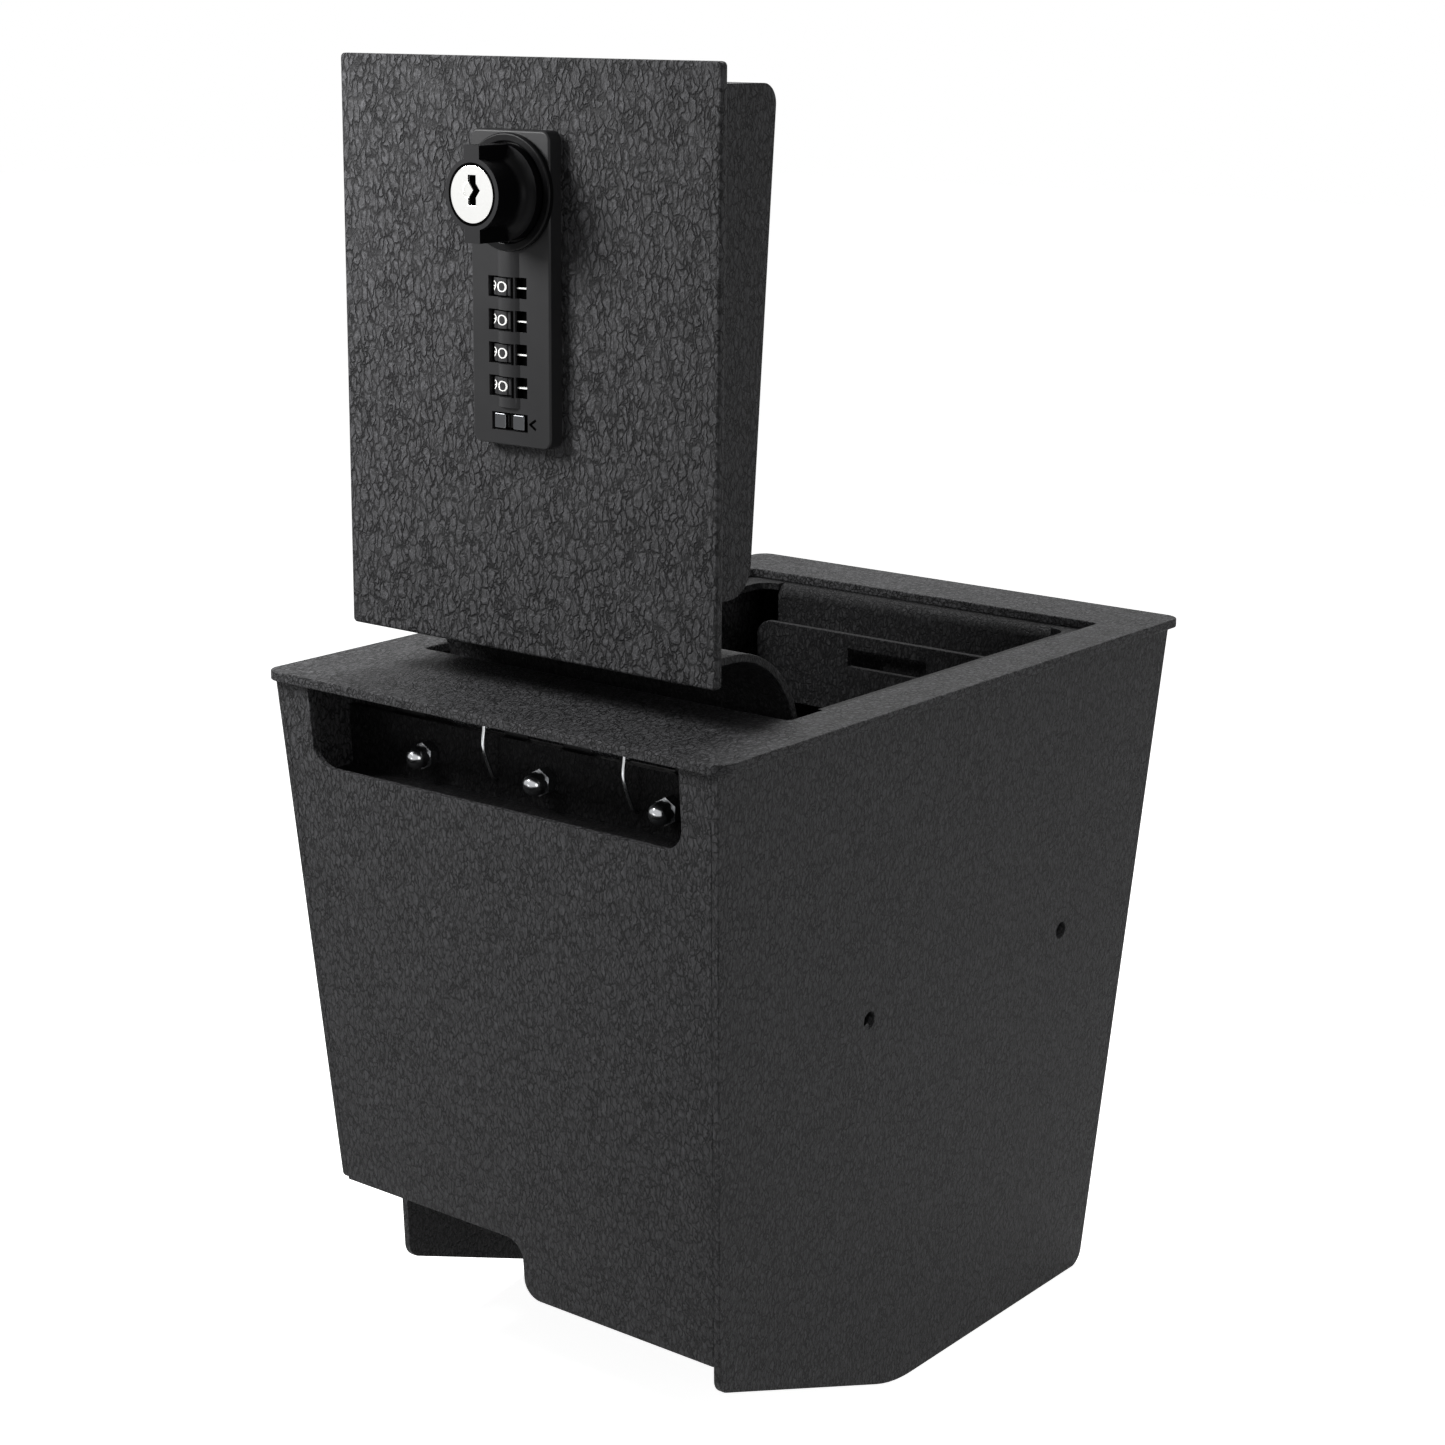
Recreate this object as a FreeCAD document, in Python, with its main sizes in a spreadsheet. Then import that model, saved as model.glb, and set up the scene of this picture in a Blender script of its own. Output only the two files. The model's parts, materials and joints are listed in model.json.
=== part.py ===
"""Steel cash safe for a vehicle's centre console: a tapered welded box, a sprung drop-in lid and a dial lock.

The frame has X to the right, Y to the rear and Z up, with the origin under the middle of the box.
"""
import FreeCAD
import Part
import Sketcher
import math
import os

Vector = FreeCAD.Vector
QUARTER_TURN = FreeCAD.Rotation(Vector(1, 0, 0), 90)

# Driving dimensions in millimetres and degrees. Heights named "drop" run down from the top of the box,
# lengths named "back" run rearwards from its front edge, and lengths named "up" run along the lid from
# its hinge end.
SIZES = {
    "box_width": 190,
    "box_depth": 270,
    "box_height": 248,
    "sheet": 2.5,
    "frame_sheet": 3.2,
    "frame_corner": 6,
    "opening_width": 154.2,
    "opening_length": 184.3,
    "opening_corner": 2,
    "front_strip": 56.5,
    "side_inset": 3.1,
    "front_inset": 2.2,
    "rear_inset": 3.7,
    "side_draft": 3,
    "end_draft": 5,
    "window_width": 154,
    "window_drop": 30.5,
    "window_corner": 8,
    "front_left_drop": 181.3,
    "front_right_drop": 201.5,
    "step_corner": 6.5,
    "skirt_front_drop": 210,
    "skirt_flat_back": 120.5,
    "skirt_corner": 6,
    "skirt_bend": 60,
    "notch_back": 45.5,
    "rear_drop": 244,
    "floor_drop": 178.5,
    "hole_diameter": 6,
    "hole_spacing": 118,
    "hole_back": 90,
    "hole_drop": 104.6,
    "rest_inner_width": 136,
    "rest_outer_width": 176,
    "rest_front_back": 84,
    "rest_rear_back": 235.5,
    "rest_rear_width": 25,
    "rest_corner": 6,
    "tab_width": 122,
    "tab_drop": 30,
    "tab_bend": 5,
    "strike_back": 221,
    "strike_width": 120,
    "strike_top_drop": 14.5,
    "strike_foot_drop": 42,
    "strike_corner": 6,
    "strike_slot_width": 35,
    "strike_slot_drop": 20,
    "strike_slot_height": 6.7,
    "hinge_back": 32.7,
    "hinge_drop": 10.35,
    "pin_diameter": 4,
    "pin_length": 140,
    "running_clearance": 0.05,
    "barrel_diameter": 8,
    "leaf_sheet": 1.5,
    "leaf_width": 140,
    "leaf_bottom_drop": 40,
    "panel_back": 32.3,
    "panel_top_drop": 16.5,
    "panel_bottom_drop": 37,
    "bolt_pitch": 51.3,
    "bolt_drop": 27.6,
    "bolt_diameter": 5,
    "bolt_head_diameter": 9,
    "nut_flats": 8,
    "nut_hex_height": 4,
    "nut_height": 10,
    "nut_dome_diameter": 7.5,
    "wire_diameter": 1.3,
    "coil_diameter": 9.1,
    "coil_pitch": 2,
    "coil_turns": 7,
    "coil_left": -38,
    "coil_right": 20.6,
    "leg_hole_drop": 31,
    "leg_knee_drop": 19.5,
    "leg_bulge": 6,
    "leg_reach": 20,
    "lid_gap": 1.7,
    "lid_rest_gap": 0.3,
    "lid_corner": 1.5,
    "channel_width": 132,
    "channel_sheet": 2,
    "channel_up": 23.3,
    "channel_end_gap": 6.5,
    "channel_deep": 35.4,
    "channel_shallow": 24.9,
    "channel_deep_corner": 6,
    "channel_shallow_corner": 10,
    "neck_width": 145,
    "neck_flange_up": 21.8,
    "neck_root_up": 6,
    "neck_knee": 32.2,
    "neck_radius": 32,
    "neck_lean": 17,
    "neck_bend": 1.5,
    "neck_leaf_gap": 0.3,
    "neck_foot_reach": 5.8,
    "plate_width": 31.6,
    "plate_up": 66,
    "plate_length": 94,
    "plate_proud": 5.2,
    "plate_corner": 3,
    "plate_edge": 0.8,
    "ridge_width": 8.8,
    "ridge_height": 1.6,
    "ridge_side": -0.7,
    "ridge_up": 77.7,
    "case_width": 24,
    "case_up": 68,
    "case_length": 90,
    "case_depth": 19.45,
    "case_wall": 1.6,
    "face_wall": 1.8,
    "chamber_end_up": 2.325,
    "cover_sheet": 1.5,
    "dial_diameter": 14.2,
    "dial_thickness": 5.2,
    "dial_hub": 8,
    "dial_hub_gap": 0.15,
    "dial_first_up": 83.85,
    "dial_pitch": 9.95,
    "dial_side": -3.3,
    "dial_proud": 0.3,
    "dial_groove": 1.1,
    "dial_relief": 0.4,
    "spindle_diameter": 3,
    "dial_window_left": -8.9,
    "dial_window_right": 1.2,
    "dial_window_height": 6.3,
    "mark_left": 2.5,
    "mark_right": 6.5,
    "mark_depth": 1.2,
    "slider_up": 73.15,
    "slider_window_left": -7.9,
    "slider_window_right": 6.6,
    "slider_window_height": 5.5,
    "slider_travel": 1.5,
    "slider_lug": 4.6,
    "slider_gap": 0.1,
    "knob_up": 141.8,
    "collar_diameter": 34.8,
    "collar_bore": 29.4,
    "collar_height": 1.8,
    "knob_gap": 0.3,
    "knob_base_diameter": 28.4,
    "knob_base_height": 3.6,
    "knob_nose_diameter": 21.2,
    "knob_nose_height": 2.4,
    "knob_neck_diameter": 20.2,
    "knob_scoop": 3.8,
    "knob_proud": 21.6,
    "lug_width": 6.1,
    "plug_diameter": 16.9,
    "plug_depth": 14.4,
    "keyway_height": 8.8,
    "keyway_width": 3.2,
    "keyway_rise": 1.2,
    "keyway_jog": 1.6,
    "keyway_jog_height": 4,
    "keyway_depth": 9,
    "tumbler_diameter": 4.8,
    "tumbler_side": 1.2,
    "tumbler_depth": 0.5,
    "shaft_diameter": 9.9,
    "cam_gap": 1.2,
    "cam_sheet": 3,
    "cam_reach": 26,
    "cam_width": 10,
    "cam_tail": 6.5,
    "stud_diameter": 6,
    "washer_diameter": 12,
    "washer_sheet": 1.1,
    "cam_nut_flats": 10,
    "cam_nut_height": 5,
    "screw_diameter": 2.5,
    "screw_head_diameter": 5,
    "screw_length": 7,
    "screw_side": 8,
    "screw_low_up": 127,
    "screw_high_up": 155,
}

# Barrels along the hinge, as left and right ends across X.
FIXED_BARRELS = [(-68, -56), (-20.5, -10.5), (4.5, 18), (50, 62)]
MOVING_BARRELS = [(-55.5, -41.5), (-10, 4), (38.8, 49.5)]

# Numbers round each dial.
DIAL_COUNT = 4
DIAL_NUMBERS = 10

doc = FreeCAD.newDocument("console_cash_safe")
sheet = doc.addObject("Spreadsheet::Sheet", "dims")
for row, (alias, number) in enumerate(SIZES.items(), start=1):
    sheet.set(f"A{row}", alias)
    sheet.set(f"B{row}", str(number))
    sheet.setAlias(f"B{row}", alias)
doc.recompute()


class Size:
    """A length that keeps both its number now and the expression that ties it to the sheet."""

    def __init__(self, text, number):
        self.text = text
        self.number = float(number)

    def __add__(self, other):
        other = as_size(other)
        return Size(f"({self.text} + {other.text})", self.number + other.number)

    def __sub__(self, other):
        other = as_size(other)
        return Size(f"({self.text} - {other.text})", self.number - other.number)

    def __mul__(self, other):
        other = as_size(other)
        return Size(f"({self.text} * {other.text})", self.number * other.number)

    def __truediv__(self, other):
        other = as_size(other)
        return Size(f"({self.text} / {other.text})", self.number / other.number)

    def __radd__(self, other):
        return as_size(other) + self

    def __rsub__(self, other):
        return as_size(other) - self

    def __neg__(self):
        return Size(f"(0 - {self.text})", -self.number)


def as_size(value):
    if isinstance(value, Size):
        return value
    return Size(repr(float(value)), value)


def tangent(angle):
    return Size(f"tan({angle.text})", math.tan(math.radians(angle.number)))


def cosine(angle):
    return Size(f"cos({angle.text})", math.cos(math.radians(angle.number)))


class Dims:
    """The sheet's cells by name."""

    def __getattr__(self, alias):
        return Size(f"dims.{alias}", sheet.get(alias))


d = Dims()

# Places worked out from the driving dimensions.
FRONT = -d.box_depth / 2
TOP = d.box_height
UNDER_FRAME = TOP - d.frame_sheet
HINGE_Y = FRONT + d.hinge_back
HINGE_Z = TOP - d.hinge_drop
LID_FACE = HINGE_Y - d.hinge_drop - d.lid_rest_gap
LID_BACK = LID_FACE + d.frame_sheet
LID_LOW = HINGE_Z + d.front_strip + d.lid_gap - d.hinge_back
LID_LENGTH = d.opening_length - d.lid_gap * 2
LID_WIDTH = d.opening_width - d.lid_gap * 2
PANEL_REAR = FRONT + d.panel_back + d.sheet
LEAF_REAR = PANEL_REAR + d.leaf_sheet
NECK_FOOT = LEAF_REAR - HINGE_Y + d.neck_leaf_gap
BARREL = d.barrel_diameter / 2
BORE = d.pin_diameter / 2 + d.running_clearance
PLUG = d.plug_diameter / 2
SHAFT = d.shaft_diameter / 2
COVER_BACK = -d.case_depth - d.cover_sheet
CAM_FACE = COVER_BACK - d.cam_gap
CAM_BACK = CAM_FACE - d.cam_sheet
WASHER_BACK = CAM_BACK - d.washer_sheet
CHAMBER_LOW = d.case_up + d.case_wall
TOP_HUB = d.dial_first_up + d.dial_pitch * (DIAL_COUNT - 1) + d.dial_pitch / 2
CHAMBER_END = TOP_HUB + d.chamber_end_up
FACE_INSIDE = d.plate_proud - d.face_wall
DIAL_DEPTH = d.plate_proud + d.dial_proud - d.dial_diameter / 2


def bind(target, path, size):
    target.setExpression(path, as_size(size).text)


def plane_of(body, role):
    return next(feature for feature in body.Origin.OriginFeatures if feature.Role == role)


def unit(a, b):
    length = math.hypot(b[0] - a[0], b[1] - a[1])
    return ((b[0] - a[0]) / length, (b[1] - a[1]) / length)


def add_outline(sketch, corners):
    """Close a line through the corners, each (across, up) or (across, up, radius), tied to the sheet."""
    count = len(corners)
    points = [(as_size(c[0]).number, as_size(c[1]).number) for c in corners]
    starts, ends, arcs = [], [], []
    for i, corner in enumerate(corners):
        here = points[i]
        if len(corner) == 2:
            starts.append(here)
            ends.append(here)
            arcs.append(None)
            continue
        radius = as_size(corner[2]).number
        back = unit(here, points[i - 1])
        ahead = unit(here, points[(i + 1) % count])
        half = math.acos(back[0] * ahead[0] + back[1] * ahead[1]) / 2
        run = radius / math.tan(half)
        starts.append((here[0] + back[0] * run, here[1] + back[1] * run))
        ends.append((here[0] + ahead[0] * run, here[1] + ahead[1] * run))
        middle = (back[0] + ahead[0], back[1] + ahead[1])
        reach = radius / math.sin(half) / math.hypot(*middle)
        left_turn = back[0] * ahead[1] - back[1] * ahead[0] < 0
        arcs.append((here[0] + middle[0] * reach, here[1] + middle[1] * reach, radius, left_turn))
    lines = []
    for i in range(count):
        a = ends[i]
        b = starts[(i + 1) % count]
        lines.append(sketch.addGeometry(Part.LineSegment(Vector(*a, 0), Vector(*b, 0))))
    for i, corner in enumerate(corners):
        before = lines[i - 1]
        after = lines[i]
        if arcs[i] is None:
            sketch.addConstraint(Sketcher.Constraint("Coincident", before, 2, after, 1))
            tie_point(sketch, after, 1, corner, points[i])
            continue
        x, y, radius, left_turn = arcs[i]
        first, last = (starts[i], ends[i]) if left_turn else (ends[i], starts[i])
        angles = [math.atan2(p[1] - y, p[0] - x) for p in (first, last)]
        circle = Part.Circle(Vector(x, y, 0), Vector(0, 0, 1), radius)
        arc = sketch.addGeometry(Part.ArcOfCircle(circle, angles[0], angles[1]))
        near, far = (1, 2) if left_turn else (2, 1)
        sketch.addConstraint(Sketcher.Constraint("Tangent", before, 2, arc, near))
        sketch.addConstraint(Sketcher.Constraint("Tangent", arc, far, after, 1))
        rule = sketch.addConstraint(Sketcher.Constraint("Radius", arc, radius))
        bind(sketch, f"Constraints[{rule}]", corner[2])
        apex = sketch.addGeometry(Part.Point(Vector(*points[i], 0)), True)
        sketch.addConstraint(Sketcher.Constraint("PointOnObject", apex, 1, before))
        sketch.addConstraint(Sketcher.Constraint("PointOnObject", apex, 1, after))
        tie_point(sketch, apex, 1, corner, points[i])


def tie_point(sketch, geometry, end, corner, point):
    for kind, size, number in (("DistanceX", corner[0], point[0]), ("DistanceY", corner[1], point[1])):
        rule = sketch.addConstraint(Sketcher.Constraint(kind, -1, 1, geometry, end, number))
        bind(sketch, f"Constraints[{rule}]", size)


def add_circle(sketch, across, up, radius):
    point = (as_size(across).number, as_size(up).number)
    circle = Part.Circle(Vector(*point, 0), Vector(0, 0, 1), as_size(radius).number)
    ring = sketch.addGeometry(circle)
    rule = sketch.addConstraint(Sketcher.Constraint("Radius", ring, as_size(radius).number))
    bind(sketch, f"Constraints[{rule}]", radius)
    tie_point(sketch, ring, 3, (across, up), point)


def sketch_at(body, axis, level, shapes):
    """A sketch square to the axis at the level. A shape is a circle (across, up, radius) or an outline."""
    role, sign = {"X": ("YZ_Plane", 1), "Y": ("XZ_Plane", -1), "Z": ("XY_Plane", 1)}[axis]
    sketch = body.newObject("Sketcher::SketchObject", body.Name + "_sketch")
    sketch.AttachmentSupport = [(plane_of(body, role), "")]
    sketch.MapMode = "FlatFace"
    bind(sketch, "AttachmentOffset.Base.z", as_size(level) * sign)
    for shape in shapes:
        if isinstance(shape, tuple):
            add_circle(sketch, *shape)
        else:
            add_outline(sketch, shape)
    return sketch


def pad(body, axis, low, high, *shapes):
    """Material between two levels along an axis."""
    level = high if axis == "Y" else low
    feature = body.newObject("PartDesign::Pad", body.Name + "_pad")
    feature.Profile = sketch_at(body, axis, level, shapes)
    bind(feature, "Length", as_size(high) - low)
    doc.recompute()


def cut(body, axis, low, high, *shapes):
    """Material taken away between two levels along an axis."""
    level = low if axis == "Y" else high
    before = body.Shape.Volume
    feature = body.newObject("PartDesign::Pocket", body.Name + "_cut")
    feature.Profile = sketch_at(body, axis, level, shapes)
    bind(feature, "Length", as_size(high) - low)
    doc.recompute()
    if not body.Shape.Volume < before:
        raise RuntimeError(f"a cut in {body.Label} takes nothing away")


def turn(body, outline):
    """A turned form about the body's Z axis, from an outline of radius and height."""
    feature = body.newObject("PartDesign::Revolution", body.Name + "_turn")
    feature.Profile = sketch_at(body, "Y", 0, [outline])
    feature.ReferenceAxis = (feature.Profile[0], ["V_Axis"])
    feature.Angle = 360
    doc.recompute()


def bore(body, outline):
    """A turned hole about the body's Z axis."""
    feature = body.newObject("PartDesign::Groove", body.Name + "_bore")
    feature.Profile = sketch_at(body, "Y", 0, [outline])
    feature.ReferenceAxis = (feature.Profile[0], ["V_Axis"])
    feature.Angle = 360
    doc.recompute()


def soften(body, radius, chosen):
    """Round the edges whose middle the test chooses."""
    names = [f"Edge{i}" for i, edge in enumerate(body.Shape.Edges, 1) if chosen(edge.CenterOfMass)]
    base = body.Tip
    feature = body.newObject("PartDesign::Fillet", body.Name + "_round")
    feature.Base = (base, names)
    bind(feature, "Radius", radius)
    doc.recompute()


def new_body(label):
    body = doc.addObject("PartDesign::Body", label)
    body.Label = label
    return body


def box(left, right, low, high, radius=None):
    """The corners of a rectangle, rounded where a radius is given."""
    corners = [(left, low), (right, low), (right, high), (left, high)]
    if radius is None:
        return corners
    return [corner + (radius,) for corner in corners]


def centred(width, low, high, radius=None):
    half = as_size(width) / 2
    return box(-half, half, low, high, radius)


def hexagon(flats):
    """A hexagon across its flats, with a corner straight up."""
    side = as_size(flats) / math.sqrt(3)
    half = as_size(flats) / 2
    return [(0, -side), (half, -side / 2), (half, side / 2), (0, side), (-half, side / 2), (-half, -side / 2)]


def move(item, x, y, z, rotation=None):
    if rotation is not None:
        item.Placement = FreeCAD.Placement(Vector(), rotation)
    for axis, size in zip("xyz", (x, y, z)):
        bind(item, f"Placement.Base.{axis}", size)


def on_lid(item, across=0, up=0):
    """Stand a piece on the lid's outer face: its Y runs up the lid and its Z stands proud of it."""
    move(item, across, LID_FACE, LID_LOW + up, QUARTER_TURN)


nodes = []


def keep(item, label):
    item.Label = label
    nodes.append((label, item))
    return item


def group(label, pieces):
    compound = doc.addObject("Part::Compound", label)
    compound.Links = pieces
    return keep(compound, label)


def common(label, base, tool):
    """What two solids share: a blank trimmed by another."""
    result = doc.addObject("Part::Common", label)
    result.Base = base
    result.Tool = tool
    return keep(result, label)


# Levels of the walls: half widths and depths at a height, on the outer face, and inside one sheet.
def side_at(z, inside=False):
    half = d.box_width / 2 - d.side_inset - (TOP - z) * tangent(d.side_draft)
    return half - d.sheet / cosine(d.side_draft) if inside else half


def front_at(z, inside=False):
    y = FRONT + d.front_inset + (TOP - z) * tangent(d.end_draft)
    return y + d.sheet / cosine(d.end_draft) if inside else y


def rear_at(z, inside=False):
    y = -FRONT - d.rear_inset - (TOP - z) * tangent(d.end_draft)
    return y - d.sheet / cosine(d.end_draft) if inside else y


def wedge(name, low, high, left, right, front, rear):
    """A tapered block between two heights, whose four sides are functions of height."""
    block = doc.addObject("Part::Wedge", name)
    ends = {"": low, "2": high}
    bind(block, "Ymin", 0)
    bind(block, "Ymax", as_size(high) - low)
    for mark, z in ends.items():
        bind(block, f"X{mark}min", left(z))
        bind(block, f"X{mark}max", right(z))
        bind(block, f"Z{mark}min", -rear(z))
        bind(block, f"Z{mark}max", -front(z))
    move(block, 0, 0, low, QUARTER_TURN)
    return block


# Box: a flat top frame on four tapered walls, with a floor, a lid rest and a slotted strike inside.
def make_top_frame():
    body = new_body("top_frame")
    opening_front = FRONT + d.front_strip
    outer = centred(d.box_width, FRONT, -FRONT, d.frame_corner)
    opening = centred(d.opening_width, opening_front, opening_front + d.opening_length, d.opening_corner)
    pad(body, "Z", UNDER_FRAME, TOP, outer, opening)
    keep(body, "top_frame")


def make_front_wall():
    """The front blank, with the hinge window in its top edge and a stepped bottom edge."""
    slab = wedge("front_slab", 0, UNDER_FRAME, lambda z: -side_at(z, True), lambda z: side_at(z, True),
                 front_at, lambda z: front_at(z, True))
    body = new_body("front_blank")
    half = d.box_width / 2
    window = d.window_width / 2
    low_left = TOP - d.front_left_drop
    low_right = TOP - d.front_right_drop
    sill = TOP - d.window_drop
    outline = [(-half, low_left), (0, low_left, d.step_corner), (0, low_right, d.step_corner),
               (half, low_right), (half, TOP), (window, TOP), (window, sill, d.window_corner),
               (-window, sill, d.window_corner), (-window, TOP), (-half, TOP)]
    pad(body, "Y", FRONT, 0, outline)
    common("front_wall", slab, body)


def make_rear_wall():
    slab = wedge("rear_slab", 0, UNDER_FRAME, lambda z: -side_at(z, True), lambda z: side_at(z, True),
                 lambda z: rear_at(z, True), rear_at)
    body = new_body("rear_blank")
    pad(body, "Y", 0, -FRONT, centred(d.box_width, TOP - d.rear_drop, TOP))
    common("rear_wall", slab, body)


def make_side_walls():
    """Side blanks with a sloping skirt and two fixing holes; the left one is notched at its front foot."""
    step = TOP - d.front_left_drop
    toe = TOP - d.skirt_front_drop
    flat = FRONT + d.skirt_flat_back
    slope = toe / (flat - front_at(toe))
    notch = FRONT + d.notch_back
    heel = [(flat, 0, d.skirt_bend), (rear_at(0), 0, d.skirt_corner), (rear_at(TOP), TOP),
            (front_at(TOP), TOP)]
    right = [(front_at(toe), toe, d.skirt_corner)] + heel
    left = [(front_at(step), step, d.sheet), (notch, step, d.sheet),
            (notch, toe - (notch - front_at(toe)) * slope, d.skirt_corner)] + heel
    first_hole = FRONT + d.hole_back
    holes = [(y, TOP - d.hole_drop, d.hole_diameter / 2) for y in (first_hole, first_hole + d.hole_spacing)]
    reach = d.box_width / 2
    left_sides = (lambda z: -side_at(z), lambda z: -side_at(z, True))
    right_sides = (lambda z: side_at(z, True), side_at)
    for name, outline, sides, low, high in (("left", left, left_sides, -reach, 0),
                                            ("right", right, right_sides, 0, reach)):
        slab = wedge(f"{name}_slab", 0, UNDER_FRAME, *sides, lambda z: FRONT, lambda z: -FRONT)
        body = new_body(f"{name}_blank")
        pad(body, "X", low, high, outline, *holes)
        common(f"{name}_wall", slab, body)


def make_floor():
    top = TOP - d.floor_drop
    floor = wedge("floor_panel", top - d.sheet, top, lambda z: -side_at(z, True), lambda z: side_at(z, True),
                  lambda z: front_at(z, True), lambda z: rear_at(z, True))
    keep(floor, "floor_panel")


def make_lid_rest():
    """A U-shaped ledge under the top frame, with a tab rolled down from its rear part."""
    body = new_body("lid_rest_frame")
    inner = d.rest_inner_width / 2
    outer = d.rest_outer_width / 2
    front = FRONT + d.rest_front_back
    rear = FRONT + d.rest_rear_back
    back = rear + d.rest_rear_width
    tab = d.tab_width / 2
    rolled = rear + d.tab_bend + d.sheet
    under = UNDER_FRAME - d.sheet
    outline = [(inner, front), (outer, front), (outer, back), (-outer, back), (-outer, front),
               (-inner, front), (-inner, rear, d.rest_corner), (-tab, rear), (-tab, rolled),
               (tab, rolled), (tab, rear), (inner, rear, d.rest_corner)]
    pad(body, "Z", under, UNDER_FRAME, outline)
    low = TOP - d.tab_drop
    profile = [(rear, low), (rear + d.sheet, low), (rear + d.sheet, under, d.tab_bend - d.sheet),
               (rolled, under), (rolled, UNDER_FRAME), (rear, UNDER_FRAME, d.tab_bend)]
    pad(body, "X", -tab, tab, profile)
    keep(body, "lid_rest_frame")


def make_strike(cavity):
    """A slotted plate that the cam reaches through, on a foot bent back to the rear wall."""
    body = new_body("strike_blank")
    front = FRONT + d.strike_back
    foot = TOP - d.strike_foot_drop
    slot_top = TOP - d.strike_slot_drop
    half = d.strike_width / 2
    plate_top = TOP - d.strike_top_drop
    plate = [(-half, foot - d.sheet), (half, foot - d.sheet), (half, plate_top, d.strike_corner),
             (-half, plate_top, d.strike_corner)]
    slot = centred(d.strike_slot_width, slot_top - d.strike_slot_height, slot_top)
    pad(body, "Y", front, front + d.sheet, plate, slot)
    pad(body, "Z", foot - d.sheet, foot, centred(d.strike_width, front + d.sheet, -FRONT))
    common("latch_strike", body, cavity)


# Hinge: a panel behind the front window carries a bolted leaf, and the lid's bent neck turns on its pin.
def make_hinge_panel(cavity):
    body = new_body("panel_blank")
    face = FRONT + d.panel_back
    shelf = TOP - d.panel_bottom_drop
    panel_top = TOP - d.panel_top_drop
    outline = [(FRONT, shelf - d.sheet), (PANEL_REAR, shelf - d.sheet, d.sheet), (PANEL_REAR, panel_top),
               (face, panel_top), (face, shelf), (FRONT, shelf)]
    half = d.box_width / 2
    pad(body, "X", -half, half, outline)
    bolt_hole = d.bolt_diameter / 2 + d.running_clearance
    cut(body, "Y", face, PANEL_REAR, *[(x, TOP - d.bolt_drop, bolt_hole) for x in bolt_places()])
    leg_hole = d.wire_diameter / 2 + d.running_clearance * 4
    places = [leg_end(coil_end(left)) for left in (d.coil_left, d.coil_right)]
    cut(body, "Y", face, PANEL_REAR, *[(x, TOP - d.leg_hole_drop, leg_hole) for x in places])
    common("hinge_panel", body, cavity)


def bolt_places():
    return [d.bolt_pitch * i for i in (-1, 0, 1)]


def make_fixed_leaf():
    """A flat leaf behind the panel, countersunk for its bolts, with barrels rolled round the pin."""
    body = new_body("fixed_leaf")
    low = TOP - d.leaf_bottom_drop
    leaf_top = TOP - d.panel_top_drop
    pad(body, "Y", PANEL_REAR, LEAF_REAR, centred(d.leaf_width, low, leaf_top))
    for left, right in FIXED_BARRELS:
        pad(body, "X", left, right, box(PANEL_REAR, LEAF_REAR, leaf_top, HINGE_Z))
        pad(body, "X", left, right, (HINGE_Y, HINGE_Z, BARREL))
    half = d.leaf_width / 2
    cut(body, "X", -half, half, (HINGE_Y, HINGE_Z, BORE))
    bolt_hole = d.bolt_head_diameter / 2 + d.running_clearance
    cut(body, "Y", PANEL_REAR, LEAF_REAR, *[(x, TOP - d.bolt_drop, bolt_hole) for x in bolt_places()])
    keep(body, "fixed_leaf")


def make_hinge_pin():
    pin = doc.addObject("Part::Cylinder", "hinge_pin")
    bind(pin, "Radius", d.pin_diameter / 2)
    bind(pin, "Height", d.pin_length)
    move(pin, -d.pin_length / 2, HINGE_Y, HINGE_Z, FreeCAD.Rotation(Vector(0, 1, 0), 90))
    keep(pin, "hinge_pin")


def make_bolts_and_nuts():
    """Flat-headed bolts through leaf and panel, each with a domed nut on the panel's face."""
    head = d.leaf_sheet
    shank = d.bolt_diameter / 2
    grip = d.leaf_sheet + d.sheet
    reach = grip + d.nut_hex_height
    bolts, nuts = [], []
    for x in bolt_places():
        bolt = new_body("hinge_bolt")
        half = d.bolt_head_diameter / 2
        turn(bolt, [(0, 0), (half, 0), (half, head), (shank, head), (shank, reach), (0, reach)])
        move(bolt, x, LEAF_REAR, TOP - d.bolt_drop, QUARTER_TURN)
        bolts.append(bolt)
        nut = new_body("dome_nut")
        pad(nut, "Z", 0, d.nut_hex_height, hexagon(d.nut_flats))
        dome = d.nut_dome_diameter / 2
        base = d.nut_hex_height
        crown = dome - d.running_clearance * 6
        turn(nut, [(0, base), (dome, base), (dome, d.nut_height, crown), (0, d.nut_height)])
        thread = shank + d.running_clearance
        bore(nut, [(0, 0), (thread, 0), (thread, base), (0, base)])
        move(nut, x, FRONT + d.panel_back, TOP - d.bolt_drop, QUARTER_TURN)
        nuts.append(nut)
    group("hinge_bolts", bolts)
    group("dome_nuts", nuts)


# Springs: round wire wound about the pin, one leg hooked in the panel and the other under the neck's foot.
# Angles run from the rear, over the top.
START_ANGLE = 60
END_ANGLE = 180
CHECK_STEP = 6


def turns_wound():
    return d.coil_turns + (END_ANGLE - START_ANGLE) / 360


def coil_end(left):
    return left + d.coil_pitch * turns_wound()


def leg_end(right):
    """The wire keeps the coil's slant, so its leg ends a little to the right of the last turn."""
    return right + d.coil_pitch * (d.leg_hole_drop - d.hinge_drop) / (d.coil_diameter * math.pi)


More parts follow.
